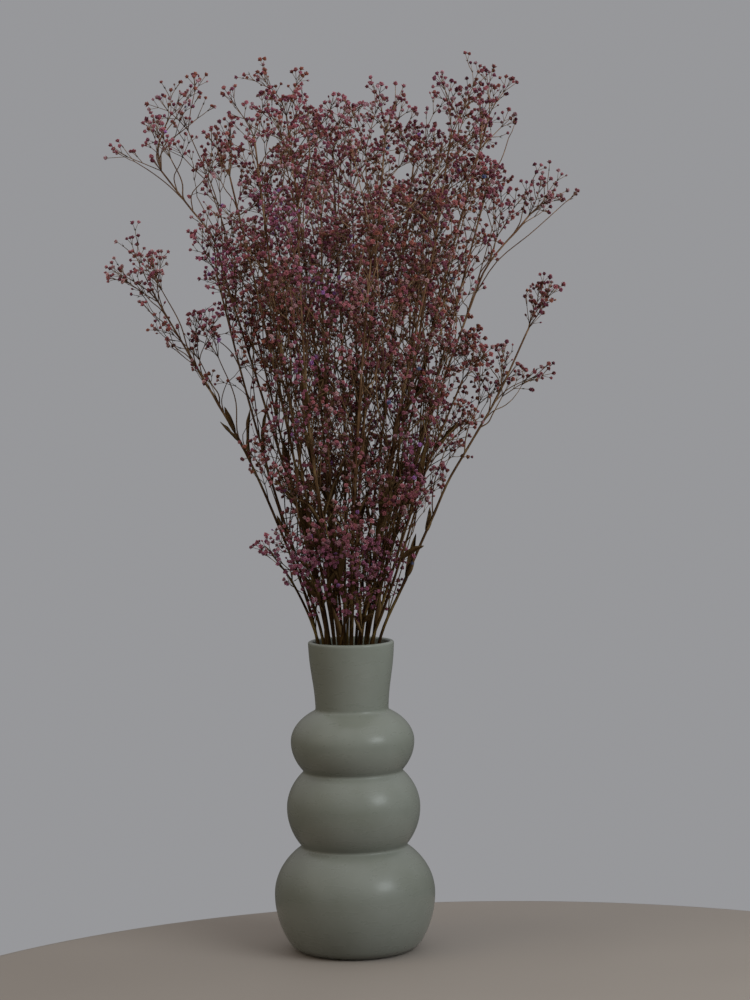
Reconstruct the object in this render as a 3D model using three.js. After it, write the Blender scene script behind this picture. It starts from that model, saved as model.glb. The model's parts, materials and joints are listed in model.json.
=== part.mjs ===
// A bunch of dried, dyed gypsophila standing in a vase of three stacked bulbs with a flared neck.
// Millimetres, +Z up, with the viewer at -Y. The origin is where the vase's axis meets the surface under it.
// Each cut stem is one solid, as it grew: stalk, leaves, side branches and flower heads share one skin.

import * as THREE from "three";

// Vase. A bulb is an ellipse that rises and drops differently from its widest height.
const VASE_HEIGHT = 250;
const RIM_RADIUS = 34.6;
const NECK_RADIUS = 29.3;
const BULBS = [
  { centre: 45.5, radius: 64.8, rise: 51, drop: 69, steps: 7, innerSteps: 4 },
  { centre: 115.3, radius: 53.8, rise: 43.8, drop: 49.4, steps: 5, innerSteps: 3 },
  { centre: 169, radius: 49.8, rise: 31.3, drop: 39.2, steps: 5, innerSteps: 3 },
];
const FOOT_RADIUS = 46;
const FOOT_BEVEL = 1.4;
const WALL = 4;
const LIP = 1.7;
const FLOOR = 6;
const VASE_SIDES = 28;

// Stalks. Above the neck they fan out from a focus on the axis, and below it they stand almost upright.
const FIT_GAP = 0.3;
const CUT_HEIGHT = FLOOR + FIT_GAP;
const FOCUS_HEIGHT = 185;
const NECK_HEIGHT = 192;
const NECK_SPREAD = 0.84;
const FLOOR_SPREAD = 0.95;
const BUNCH_LEAN = -4;
const STALK_RADIUS = 1.6;
const STALK_TIP_RADIUS = 0.8;
const STALK_SIDES = 4;
const STALK_STEPS = 4;
const SWAY = 6;
const NODE_LENGTH = 2.6;
const NODE_ROOM = 9;

// Side branches. They leave a stalk in pairs, on opposite sides of a node, by an axil of a set angle, and bow
// outwards.
const AXIL_LENGTH = 8;
const AXIL_TILT = 0.5;
const BRANCH_RADIUS = 0.8;
const BRANCH_TIP_RADIUS = 0.68;
const BRANCH_TILT = [0.3, 0.48];
const BRANCH_SWING = 0.75;
const BRANCH_BOW = 0.08;
const BRANCH_MIDDLE = 0.45;
const LOW_BRANCH = 92;
const HIGH_BRANCH = 52;
const BRANCH_SPREAD = [0.85, 1.15];
const HIGHEST_NODE = 0.72;

// Forks. A stalk or branch parts into a flower on two of its four sides and a shoot on the other two. Each
// shoot parts into three flowers.
const FORK_RISE = 0.8;
const SHOOT_RADIUS = 0.6;
const SHOOT_LENGTH = [20, 32];
const SHOOT_TILT = [0.36, 0.56];
const PEDICEL_RADIUS = 0.5;
const PEDICEL_LENGTH = [10, 16];
const PEDICEL_TILT = [0.28, 0.5];
const CYME_LENGTH = 44;
const STUB_LENGTH = 3;

// Flower heads and leaves
const HEAD_RADIUS = 2.7;
const HEAD_LENGTH = 5;
const HEAD_WIDEST = 0.45;
const HEAD_ROD = 0.1;
const LEAF_LENGTH = [18, 40];
const LEAF_WIDTH = 6.4;
const LEAF_FOOT = 0.5;
const LEAF_SECTIONS = [
  { share: 0.35, width: 1 },
  { share: 0.72, width: 0.75 },
];
const LEAF_FOLD = 1.7;
const LEAF_THICKNESS = 1;
const LEAF_TILT = [0.22, 0.4];
const LEAF_SWING = 0.37;
const LEAF_CURL = 0.12;

// The side branches' heads keep within the bunch: [height, left, right]. Its depth is a share of its width.
const BUNCH = [
  [250, -40, 34],
  [330, -60, 50],
  [420, -86, 92],
  [500, -104, 124],
  [560, -122, 122],
  [620, -120, 146],
  [690, -104, 146],
  [730, -90, 130],
];
const BUNCH_DEPTH = 0.85;

const SEED = 20260;
// A shoot that would touch another one is tried again elsewhere, and a stalk's tip strays further each time.
const TRIES = 60;
const STRAY = 0.35;
const CLEARANCE = 0.45;
const WHOLE = Infinity;

const GLAZE = { color: 0x7f8678, roughness: 0.5, metalness: 0 };
const DRIED_BLOOM = { color: 0x7a4a4c, roughness: 0.9, metalness: 0 };

// The cut stems, placed by hand. tip is the place of the top flowers, crown the height of the lowest
// branching node, sprays the number of side branches and leaf the height of a leaf pair. via bends a stalk
// through points of its own, from the rim up, and reach adds side branches, each from a node's height to a
// place. A broken stalk ends in a bare stub.
const STEMS = [
  {
    tip: [-171, 4, 562], crown: 500, sprays: 0, leaf: 411,
    via: [[-27, 1, 250], [-60, 3, 352], [-86, 4, 411], [-116, 4, 465]],
    reach: [[411, [-112, -6, 522]], [440, [-136, 14, 518]], [478, [-162, -8, 574]]],
  },
  {
    tip: [-172, 14, 664], crown: 590, sprays: 0, leaf: 0,
    via: [[-19, 4, 250], [-66, 10, 440], [-106, 14, 576]],
    reach: [[520, [-116, 6, 662]], [545, [-134, 22, 704]], [600, [-150, -8, 678]]],
  },
  { tip: [-97, -30, 664], crown: 440, sprays: 2, leaf: 330 },
  { tip: [-114, -6, 590], crown: 400, sprays: 3, leaf: 0, reach: [[330, [-76, -22, 420]]] },
  { tip: [-48, 6, 714], crown: 470, sprays: 3, leaf: 360 },
  { tip: [-74, -56, 694], crown: 450, sprays: 3, leaf: 0 },
  { tip: [38, -22, 700], crown: 450, sprays: 3, leaf: 340 },
  { tip: [-9, 36, 684], crown: 460, sprays: 3, leaf: 0 },
  { tip: [128, 4, 712], crown: 500, sprays: 3, leaf: 0 },
  { tip: [94, -36, 696], crown: 470, sprays: 3, leaf: 370 },
  { tip: [62, 6, 672], crown: 430, sprays: 3, leaf: 0 },
  { tip: [122, -26, 640], crown: 500, sprays: 2, leaf: 0, reach: [[370, [76, -44, 470]]] },
  {
    tip: [176, 6, 622], crown: 480, sprays: 0, leaf: 0,
    via: [[18, 2, 250], [64, 4, 420], [110, 6, 543]],
    reach: [[535, [138, -6, 612]]],
  },
  {
    tip: [165, -8, 538], crown: 330, sprays: 0, leaf: 300,
    via: [[23, -5, 250], [50, -8, 312], [81, -10, 380], [114, -10, 434]],
    reach: [[350, [86, -24, 446]], [420, [150, -14, 480]], [400, [118, 4, 480]]],
  },
  { tip: [106, -44, 500], crown: 350, sprays: 2, leaf: 0 },
  { tip: [-38, -86, 612], crown: 400, sprays: 2, leaf: 345, reach: [[320, [-46, -66, 400]]] },
  { tip: [24, -96, 596], crown: 390, sprays: 2, leaf: 0, reach: [[285, [4, -64, 364]]] },
  { tip: [80, -80, 610], crown: 400, sprays: 2, leaf: 350, reach: [[296, [46, -58, 384]]] },
  { tip: [-69, 70, 656], crown: 430, sprays: 2, leaf: 0, reach: [[300, [-44, 50, 384]]] },
  { tip: [7, 94, 658], crown: 420, sprays: 2, leaf: 360, reach: [[330, [14, 70, 420]]] },
  { tip: [79, 72, 668], crown: 430, sprays: 2, leaf: 0, reach: [[300, [40, 52, 384]]] },
  { tip: [-19, -34, 640], crown: 430, sprays: 2, leaf: 300 },
  { tip: [-83, 56, 540], crown: 380, sprays: 2, leaf: 0 },
  { tip: [66, -60, 396], crown: 300, sprays: 2, leaf: 0 },
  { tip: [-42, -44, 352], crown: 290, sprays: 1, leaf: 0 },
  { tip: [-12, -58, 352], crown: 290, sprays: 1, leaf: 0 },
  { tip: [28, -40, 334], crown: 280, sprays: 1, leaf: 0 },
  { tip: [-21, 66, 410], crown: 310, sprays: 2, leaf: 0 },
  { tip: [59, 56, 420], crown: 310, sprays: 2, leaf: 0 },
  {
    tip: [-65, -10, 326], crown: 0, sprays: 0, leaf: 0, isBroken: true,
    via: [[-26, -9, 250], [-46, -9, 299]],
    reach: [[299, [-47, -14, 354]]],
  },
];


// Seeded random numbers from 0 to 1 (mulberry32).
let seed = SEED;
function random() {
  seed = (seed + 0x6d2b79f5) | 0;
  let t = Math.imul(seed ^ (seed >>> 15), 1 | seed);
  t = (t + Math.imul(t ^ (t >>> 7), 61 | t)) ^ t;
  return ((t ^ (t >>> 14)) >>> 0) / 4294967296;
}
const between = ([low, high]) => low + (high - low) * random();
const anyTurn = () => random() * 2 * Math.PI;
const point = ([x, y, z]) => new THREE.Vector3(x, y, z);
const partway = (a, b, share) => a.clone().lerp(b, share);
const onward = (place, way, length) => place.clone().addScaledVector(way, length);

// The radius of a bulb at a height, with its wall thinned by inset.
function bulbRadius(bulb, height, inset) {
  const half = (height > bulb.centre ? bulb.rise : bulb.drop) - inset;
  const share = (height - bulb.centre) / half;
  return (bulb.radius - inset) * Math.sqrt(Math.max(0, 1 - share * share));
}

// The height above a bulb's widest place where its surface meets the radius that upper(height) gives.
function meeting(bulb, upper, inset, top) {
  let low = bulb.centre;
  let high = top;
  for (let i = 0; i < 40; i += 1) {
    const middle = (low + high) / 2;
    if (bulbRadius(bulb, middle, inset) > upper(middle)) low = middle;
    else high = middle;
  }
  return (low + high) / 2;
}

// Points on a bulb's side between two heights, spaced evenly by angle.
function bulbArc(bulb, from, to, inset, steps) {
  const angle = (height) => {
    const half = (height > bulb.centre ? bulb.rise : bulb.drop) - inset;
    return Math.asin(Math.max(-1, Math.min(1, (height - bulb.centre) / half)));
  };
  const start = angle(from);
  const end = angle(to);
  return Array.from({ length: steps + 1 }, (_, i) => {
    const turn = start + ((end - start) * i) / steps;
    const half = (turn > 0 ? bulb.rise : bulb.drop) - inset;
    const radius = (bulb.radius - inset) * Math.cos(turn);
    return new THREE.Vector2(radius, bulb.centre + half * Math.sin(turn));
  });
}

// One side of the wall, from the foot or floor up to the neck's foot.
function bulbStack(inset, bottom, stepsKey) {
  const neck = () => NECK_RADIUS - inset;
  const joints = BULBS.map((bulb, i) => {
    const next = BULBS[i + 1];
    const upper = next ? (height) => bulbRadius(next, height, inset) : neck;
    return meeting(bulb, upper, inset, next ? next.centre : bulb.centre + bulb.rise - inset);
  });
  return BULBS.flatMap((bulb, i) => {
    const arc = bulbArc(bulb, i ? joints[i - 1] : bottom, joints[i], inset, bulb[stepsKey]);
    return i ? arc.slice(1) : arc;
  });
}

function makeVase() {
  const lip = [
    new THREE.Vector2(RIM_RADIUS, VASE_HEIGHT - LIP),
    new THREE.Vector2(RIM_RADIUS - LIP / 2, VASE_HEIGHT),
    new THREE.Vector2(RIM_RADIUS - WALL + LIP / 2, VASE_HEIGHT),
    new THREE.Vector2(RIM_RADIUS - WALL, VASE_HEIGHT - LIP),
  ];
  const profile = [
    new THREE.Vector2(0, 0),
    new THREE.Vector2(FOOT_RADIUS, 0),
    ...bulbStack(0, FOOT_BEVEL, "steps"),
    ...lip,
    ...bulbStack(WALL, FLOOR, "innerSteps").reverse(),
    new THREE.Vector2(0, FLOOR),
  ];
  return new THREE.LatheGeometry(profile, VASE_SIDES).rotateX(Math.PI / 2);
}

// A surface built up ring by ring. A ring is a list of corner numbers, counter-clockwise as seen from its far
// side.
class Skin {
  positions = [];

  index = [];

  ring(points) {
    const first = this.positions.length / 3;
    points.forEach(({ x, y, z }) => this.positions.push(x, y, z));
    return points.map((_, k) => first + k);
  }

  cap([first, ...others]) {
    for (let k = 0; k + 1 < others.length; k += 1) this.index.push(first, others[k + 1], others[k]);
  }

  // The wall between two rings, without the sides that are left open for a branch or leaf.
  wall(lower, upper, open = []) {
    lower.forEach((corner, k) => {
      if (open.includes(k)) return;
      const next = (k + 1) % lower.length;
      this.index.push(corner, lower[next], upper[k], lower[next], upper[next], upper[k]);
    });
  }

  peak(ring, top) {
    const [summit] = this.ring([top]);
    ring.forEach((corner, k) => this.index.push(corner, ring[(k + 1) % ring.length], summit));
  }

  // Parts a ring into a ring of three corners for each of its sides. They share one new corner in the middle.
  fork(ring, top) {
    const [crotch] = this.ring([top]);
    return ring.map((corner, k) => [corner, ring[(k + 1) % ring.length], crotch]);
  }

  geometry() {
    const geometry = new THREE.BufferGeometry();
    geometry.setAttribute("position", new THREE.Float32BufferAttribute(this.positions, 3));
    geometry.setIndex(this.index);
    return geometry;
  }
}

// The direction of a path at each of its points.
function tangents(path) {
  return path.map((_, i) => {
    const before = path[Math.max(0, i - 1)];
    const after = path[Math.min(path.length - 1, i + 1)];
    return after.clone().sub(before).normalize();
  });
}

// The direction nearest to a vector that is square to way.
const levelled = (vector, way) => onward(vector, way, -vector.dot(way)).normalize();

// A direction square to way, turned round it from side.
function turned(way, side, turn) {
  const other = way.clone().cross(side);
  return side.clone().multiplyScalar(Math.cos(turn)).addScaledVector(other, Math.sin(turn));
}

const leaning = (way, outward, tilt) =>
  way.clone().multiplyScalar(Math.cos(tilt)).addScaledVector(outward, Math.sin(tilt));

const sideTurn = (k, sides) => ((k + 0.5) * 2 * Math.PI) / sides;

// A shoot runs along a path, with a radius and a first corner's direction at each point. It ends in a flower,
// in a stub or in children, one on each of its sides. open lists what leaves it between two of its points.
function makeShoot(path, radii, sides, start) {
  const ways = tangents(path);
  let side = start;
  const starts = ways.map((way) => {
    side = levelled(side, way);
    return side;
  });
  return { path, radii, sides, ways, starts, open: path.map(() => []), children: [], isBroken: false };
}

// The first corner's direction of a shoot that has its root in the side of another one, facing outward.
function firstCorner(way, outward, heading, sides) {
  const edge = levelled(way.clone().cross(outward), heading);
  return turned(heading, edge, -Math.PI / 2 - Math.PI / sides);
}

// The shoots that a fork parts into. A four-sided shoot parts into forking shoots and flowers in turn.
function growFork(shoot) {
  const end = shoot.path.at(-1);
  const way = shoot.ways.at(-1);
  for (let k = 0; k < shoot.sides; k += 1) {
    const forks = shoot.sides > 3 && k % 2 === 0;
    const outward = turned(way, shoot.starts.at(-1), sideTurn(k, shoot.sides));
    const heading = leaning(way, outward, between(forks ? SHOOT_TILT : PEDICEL_TILT));
    const path = [end, onward(end, heading, between(forks ? SHOOT_LENGTH : PEDICEL_LENGTH))];
    const radius = forks ? SHOOT_RADIUS : PEDICEL_RADIUS;
    const child = makeShoot(path, [radius, radius], 3, firstCorner(way, outward, heading, 3));
    if (forks) growFork(child);
    shoot.children.push(child);
  }
}

// Round-ended rods that stand for what has grown so far, so that everything grows clear of the rest.
const grown = [];

// The distance between two straight stretches.
function stretchDistance(a, b, c, d) {
  const u = b.clone().sub(a);
  const v = d.clone().sub(c);
  const w = a.clone().sub(c);
  const uu = u.dot(u);
  const vv = v.dot(v);
  const uv = u.dot(v);
  const uw = u.dot(w);
  const vw = v.dot(w);
  const clamp = (x) => Math.max(0, Math.min(1, x));
  const flat = uu * vv - uv * uv;
  let s = flat > 1e-9 ? clamp((uv * vw - vv * uw) / flat) : 0;
  const t = clamp((uv * s + vw) / vv);
  s = clamp((uv * t - uw) / uu);
  return w.addScaledVector(u, s).addScaledVector(v, -t).length();
}

// The rods of a shoot and of its children. All of a stalk and the first stretch of a branch are rooted.
function rodsOf(shoot, stem, rooted) {
  const rods = shoot.path.slice(1).map((b, i) => {
    const radius = Math.max(shoot.radii[i], shoot.radii[i + 1]);
    return { a: shoot.path[i], b, radius, stem, isRooted: i < rooted, isStalk: rooted === WHOLE };
  });
  if (shoot.isBroken) return rods;
  if (shoot.children.length) {
    return [...rods, ...shoot.children.flatMap((child) => rodsOf(child, stem, 0))];
  }
  const end = shoot.path.at(-1);
  const head = onward(end, shoot.ways.at(-1), HEAD_LENGTH / 2);
  const top = onward(head, shoot.ways.at(-1), HEAD_ROD);
  return [...rods, { a: head, b: top, radius: HEAD_RADIUS, stem, flowerOf: end }];
}

// Two rods of one stem may touch where both are rooted in its stalk, where one is a leaf along the stalk, and
// where one springs from the other or is its flower.
function areJoined(p, q) {
  if (p.stem !== q.stem) return false;
  if (p.isRooted && q.isRooted) return true;
  if ((p.isStalk && q.isLeaf) || (q.isStalk && p.isLeaf)) return true;
  if (p.a === q.a || p.a === q.b || p.b === q.a) return true;
  return p.b === q.flowerOf || q.b === p.flowerOf;
}

function areApart(p, q) {
  const gap = stretchDistance(p.a, p.b, q.a, q.b) - p.radius - q.radius;
  return gap > CLEARANCE || areJoined(p, q);
}

function areClear(rods) {
  return rods.every(
    (p, i) => grown.every((q) => areApart(p, q)) && rods.slice(i + 1).every((q) => areApart(p, q)),
  );
}

// Whether a place is within the bunch.
function isInBunch({ x, y, z }) {
  const above = BUNCH.findIndex(([height]) => height > z);
  if (above < 1) return false;
  const [low, lowLeft, lowRight] = BUNCH[above - 1];
  const [high, highLeft, highRight] = BUNCH[above];
  const share = (z - low) / (high - low);
  const left = lowLeft + (highLeft - lowLeft) * share;
  const right = lowRight + (highRight - lowRight) * share;
  const half = (right - left) / 2;
  return Math.hypot((x - left - half) / half, y / (half * BUNCH_DEPTH)) < 1;
}

// The stalk's points, from the cut end on the vase's floor to its fork. Its tip may stray by a distance.
function stalkPath(stem, turn, stray) {
  const aside = new THREE.Vector3(Math.cos(turn), Math.sin(turn), 0);
  const tip = onward(point(stem.tip), aside, stray);
  const share = (VASE_HEIGHT - FOCUS_HEIGHT) / (tip.z - FOCUS_HEIGHT);
  const rim = stem.via
    ? point(stem.via[0])
    : new THREE.Vector3(tip.x * share + BUNCH_LEAN, tip.y * share, VASE_HEIGHT);
  const under = [
    new THREE.Vector3(rim.x * FLOOR_SPREAD, rim.y * FLOOR_SPREAD, CUT_HEIGHT),
    new THREE.Vector3(rim.x * NECK_SPREAD, rim.y * NECK_SPREAD, NECK_HEIGHT),
  ];
  const last = stem.via ? point(stem.via.at(-1)) : rim;
  const fork = partway(tip, last, stem.isBroken ? 0 : CYME_LENGTH / tip.distanceTo(last));
  if (stem.via) return [...under, ...stem.via.map(point), fork];
  const over = Array.from({ length: STALK_STEPS + 1 }, (_, i) =>
    onward(partway(rim, fork, i / STALK_STEPS), aside, SWAY * Math.sin((Math.PI * i) / STALK_STEPS)),
  );
  return [...under, ...over];
}

// A path with a short stretch added at each node's height. Points too near a node make way for it.
function withNodes(path, heights) {
  const levels = heights.flatMap((height) => [height - NODE_LENGTH / 2, height + NODE_LENGTH / 2]);
  const added = levels.map((height) => {
    const i = path.findIndex((place, k) => k > 0 && place.z >= height) - 1;
    return partway(path[i], path[i + 1], (height - path[i].z) / (path[i + 1].z - path[i].z));
  });
  const kept = path.filter(({ z }) => heights.every((height) => Math.abs(z - height) > NODE_ROOM));
  return [...kept, ...added].sort((p, q) => p.z - q.z);
}

function stalkRadius(height, top) {
  const share = Math.max(0, (height - VASE_HEIGHT) / (top - VASE_HEIGHT));
  return STALK_RADIUS + (STALK_TIP_RADIUS - STALK_RADIUS) * share;
}

// What grows from each node's height: leaves in a pair, branches that reach for a place, and side branches in
// pairs that cross from node to node.
function planNodes(stem) {
  const nodes = new Map();
  const add = (height, item) => nodes.set(height, [...(nodes.get(height) || []), item]);
  if (stem.leaf) [0, 2].forEach((side) => add(stem.leaf, { side }));
  (stem.reach || []).forEach(([height, target]) => add(height, { target: point(target) }));
  const levels = Math.ceil(stem.sprays / 2);
  const highest = stem.crown + (stem.tip[2] - stem.crown) * HIGHEST_NODE - CYME_LENGTH;
  for (let k = 0; k < stem.sprays; k += 1) {
    const level = Math.floor(k / 2);
    const share = levels > 1 ? level / (levels - 1) : 0;
    const size = LOW_BRANCH + (HIGH_BRANCH - LOW_BRANCH) * share;
    add(stem.crown + (highest - stem.crown) * share, { side: ((level + 1) % 2) + 2 * (k % 2), size });
  }
  return [...nodes.entries()].sort(([p], [q]) => p - q);
}

// Every stalk grows first, so that branches can keep clear of all of them.
function growStalk(stem, index) {
  const nodes = planNodes(stem);
  for (let i = 0; i < TRIES; i += 1) {
    const path = withNodes(
      stalkPath(stem, anyTurn(), i * STRAY),
      nodes.map(([height]) => height),
    );
    const radii = path.map(({ z }) => stalkRadius(z, stem.tip[2]));
    const roll = anyTurn();
    const start = new THREE.Vector3(Math.cos(roll), Math.sin(roll), 0);
    const stalk = makeShoot(path, radii, STALK_SIDES, start);
    if (stem.isBroken) stalk.isBroken = true;
    else growFork(stalk);
    const rods = rodsOf(stalk, index, WHOLE);
    if (areClear(rods)) {
      grown.push(...rods);
      return { stem, index, stalk, nodes };
    }
  }
  throw new Error(`stem ${index + 1} has no clear way up`);
}

// A side branch from a node to the fork that it ends in, bowed outwards.
function makeBranch(node, outward, end) {
  const heading = leaning(node.way, outward, AXIL_TILT);
  const axil = onward(node.place, heading, AXIL_LENGTH);
  const reach = end.clone().sub(node.place);
  const bow = levelled(reach, node.way).multiplyScalar(BRANCH_BOW * reach.length());
  const middle = partway(node.place, end, BRANCH_MIDDLE).add(bow);
  const start = firstCorner(node.way, outward, heading, STALK_SIDES);
  const radii = [BRANCH_RADIUS, BRANCH_RADIUS, BRANCH_RADIUS, BRANCH_TIP_RADIUS];
  const branch = makeShoot([node.place, axil, middle, end], radii, STALK_SIDES, start);
  growFork(branch);
  return branch;
}

// Tries places for a branch's fork until the whole branch grows clear.
function growBranch(node, outward, chooseEnd, mayGrow) {
  for (let i = 0; i < TRIES; i += 1) {
    const branch = makeBranch(node, outward, chooseEnd(i));
    const rods = rodsOf(branch, node.stem, 1);
    if (mayGrow(rods) && areClear(rods)) {
      grown.push(...rods);
      return branch;
    }
  }
  return null;
}

// A branch that reaches for a place. On each try its fork moves a little further to the front or the back.
function growReach(node, outward, target) {
  const reach = target.clone().sub(node.place);
  const fork = onward(node.place, reach.clone().normalize(), reach.length() - CYME_LENGTH);
  const chooseEnd = (i) => fork.clone().add(new THREE.Vector3(0, i % 2 ? i : -i, 0));
  return growBranch(node, outward, chooseEnd, () => true);
}

// A side branch, which stays within the bunch and under the stem's tip.
function growSpray(node, outward, size, top) {
  const chooseEnd = () => {
    const length = Math.min(size * between(BRANCH_SPREAD), top - CYME_LENGTH - node.place.z);
    const swung = turned(node.way, outward, between([-BRANCH_SWING, BRANCH_SWING]));
    return onward(node.place, leaning(node.way, swung, between(BRANCH_TILT)), length);
  };
  const isWithin = (rods) => rods.every(({ a, flowerOf }) => !flowerOf || isInBunch(a));
  return growBranch(node, outward, chooseEnd, isWithin);
}

// A leaf's midrib, from its root at a node, curling outwards.
function growLeaf(node, outward) {
  for (let i = 0; i < TRIES; i += 1) {
    const length = between(LEAF_LENGTH);
    const swung = turned(node.way, outward, between([-LEAF_SWING, LEAF_SWING]));
    const heading = leaning(node.way, swung, between(LEAF_TILT));
    const shares = [0, ...LEAF_SECTIONS.map(({ share }) => share), 1];
    const path = shares.map((share) =>
      onward(onward(node.place, heading, share * length), outward, LEAF_CURL * length * share * share),
    );
    const rods = path.slice(1).map((b, k) => {
      const width = k ? LEAF_SECTIONS[k - 1].width : LEAF_FOOT;
      const radius = (LEAF_WIDTH * width) / 2;
      return { a: path[k], b, radius, stem: node.stem, isRooted: k === 0, isLeaf: true };
    });
    if (areClear(rods)) {
      grown.push(...rods);
      return { path, across: levelled(node.way.clone().cross(outward), heading) };
    }
  }
  return null;
}

// Grows what leaves a stalk's nodes, from the lowest up, each from a side of its own.
function growNodes({ stem, index, stalk, nodes }) {
  nodes.forEach(([height, items]) => {
    const below = stalk.path.findIndex(({ z }) => z > height) - 1;
    const way = stalk.ways[below];
    const place = partway(stalk.path[below], stalk.path[below + 1], 0.5);
    const node = { stem: index, place, way };
    const faces = Array.from({ length: STALK_SIDES }, (_, k) =>
      turned(way, stalk.starts[below], sideTurn(k, STALK_SIDES)),
    );
    items.forEach(({ side, size, target }) => {
      const isTaken = (k) => stalk.open[below].some((other) => other.side === k);
      const facing = (k) => (isTaken(k) ? -Infinity : faces[k].dot(target) - faces[k].dot(place));
      const chosen = target ? faces.reduce((best, _, k) => (facing(k) > facing(best) ? k : best), 0) : side;
      const outward = faces[chosen];
      const isLeaf = !target && !size;
      let offshoot = null;
      if (target) offshoot = growReach(node, outward, target);
      else if (isLeaf) offshoot = growLeaf(node, outward);
      else offshoot = growSpray(node, outward, size, stem.tip[2]);
      if (offshoot) stalk.open[below].push({ side: chosen, offshoot, isLeaf });
    });
  });
}

function cornersAt(shoot, i) {
  return Array.from({ length: shoot.sides }, (_, k) => {
    const turn = (k * 2 * Math.PI) / shoot.sides;
    return onward(shoot.path[i], turned(shoot.ways[i], shoot.starts[i], turn), shoot.radii[i]);
  });
}

// Covers what leaves a shoot through its open sides between two rings.
function coverOffshoots(skin, open, lower, upper) {
  open.forEach(({ side, offshoot, isLeaf }) => {
    const next = (side + 1) % lower.length;
    const root = [lower[side], lower[next], upper[next], upper[side]];
    if (isLeaf) coverLeaf(skin, offshoot, root);
    else coverShoot(skin, offshoot, root);
  });
}

// Covers the end of a shoot: a stub, a fork or a flower head.
function coverEnd(skin, shoot, ring) {
  const end = shoot.path.at(-1);
  const way = shoot.ways.at(-1);
  if (shoot.isBroken) skin.peak(ring, onward(end, way, STUB_LENGTH));
  else if (shoot.children.length) {
    const roots = skin.fork(ring, onward(end, way, FORK_RISE * shoot.radii.at(-1)));
    shoot.children.forEach((child, k) => coverShoot(skin, child, roots[k]));
  } else {
    const middle = onward(end, way, HEAD_WIDEST * HEAD_LENGTH);
    const belly = Array.from({ length: shoot.sides }, (_, k) =>
      onward(middle, turned(way, shoot.starts.at(-1), sideTurn(k, shoot.sides)), HEAD_RADIUS),
    );
    const widest = skin.ring(belly);
    skin.wall(ring, widest);
    skin.peak(widest, onward(end, way, HEAD_LENGTH));
  }
}

// Covers a shoot and all that grows from it. Its root is a ring of the shoot it springs from, or a cut end.
function coverShoot(skin, shoot, root) {
  let ring = root || skin.ring(cornersAt(shoot, 0));
  if (!root) skin.cap(ring);
  for (let i = 1; i < shoot.path.length; i += 1) {
    const next = skin.ring(cornersAt(shoot, i));
    const open = shoot.open[i - 1];
    skin.wall(ring, next, open.map(({ side }) => side));
    coverOffshoots(skin, open, ring, next);
    ring = next;
  }
  coverEnd(skin, shoot, ring);
}

// A folded, pointed leaf. Each section is its keel, right edge, fold and left edge.
function coverLeaf(skin, { path, across }, root) {
  const ways = tangents(path);
  let ring = root;
  LEAF_SECTIONS.forEach((section, i) => {
    const rib = path[i + 1];
    const half = (LEAF_WIDTH * section.width) / 2;
    const outward = ways[i + 1].clone().cross(across);
    const next = skin.ring([
      onward(rib, outward, -LEAF_FOLD),
      onward(rib, across, half),
      onward(rib, outward, LEAF_THICKNESS - LEAF_FOLD),
      onward(rib, across, -half),
    ]);
    skin.wall(ring, next);
    ring = next;
  });
  skin.peak(ring, path.at(-1));
}

function addMesh(group, name, geometry, finish) {
  const mesh = new THREE.Mesh(geometry, new THREE.MeshStandardMaterial(finish));
  mesh.name = name;
  group.add(mesh);
}

const gypsophilaInVase = new THREE.Group();
addMesh(gypsophilaInVase, "vase", makeVase(), GLAZE);
const stems = STEMS.map(growStalk);
stems.forEach(growNodes);
stems.forEach(({ stalk }, index) => {
  const skin = new Skin();
  coverShoot(skin, stalk, null);
  addMesh(gypsophilaInVase, `stem_${String(index + 1).padStart(2, "0")}`, skin.geometry(), DRIED_BLOOM);
});

export default gypsophilaInVase;
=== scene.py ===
# A bunch of dried, dyed gypsophila in a vase of three stacked bulbs, in the looks of the photograph.
# The stems grow here by the same rule as the solids that they stand for, then get their finer parts.
import itertools
import json
import math
from collections import defaultdict
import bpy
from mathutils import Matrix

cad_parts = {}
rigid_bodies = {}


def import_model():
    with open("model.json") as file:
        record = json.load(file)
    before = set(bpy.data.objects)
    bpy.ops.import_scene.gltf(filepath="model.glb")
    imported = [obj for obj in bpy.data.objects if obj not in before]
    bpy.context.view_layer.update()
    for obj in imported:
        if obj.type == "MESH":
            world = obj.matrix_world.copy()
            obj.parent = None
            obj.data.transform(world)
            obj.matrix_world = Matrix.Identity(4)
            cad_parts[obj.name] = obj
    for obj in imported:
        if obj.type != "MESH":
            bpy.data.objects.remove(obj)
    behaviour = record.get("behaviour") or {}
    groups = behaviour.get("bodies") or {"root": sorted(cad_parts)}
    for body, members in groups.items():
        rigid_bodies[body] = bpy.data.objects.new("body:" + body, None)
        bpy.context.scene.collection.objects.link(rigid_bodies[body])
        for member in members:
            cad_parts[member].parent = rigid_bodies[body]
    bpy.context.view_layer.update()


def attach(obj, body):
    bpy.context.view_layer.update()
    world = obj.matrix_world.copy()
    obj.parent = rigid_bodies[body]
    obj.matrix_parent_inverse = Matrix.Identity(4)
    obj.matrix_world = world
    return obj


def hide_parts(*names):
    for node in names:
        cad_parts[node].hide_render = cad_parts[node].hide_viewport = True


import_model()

from types import SimpleNamespace

import bpy
import numpy as np
from mathutils import Matrix

MM = 0.001

# Vase, in mm. A bulb is an ellipse that rises and drops differently from its widest height.
VASE_HEIGHT = 250
RIM_RADIUS = 34.6
NECK_RADIUS = 29.3
BULBS = [
    {"centre": 45.5, "radius": 64.8, "rise": 51, "drop": 69},
    {"centre": 115.3, "radius": 53.8, "rise": 43.8, "drop": 49.4},
    {"centre": 169, "radius": 49.8, "rise": 31.3, "drop": 39.2},
]
FOOT_RADIUS = 46
FOOT_BEVEL = 1.4
WALL = 4
LIP = 1.7
FLOOR = 6

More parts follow.
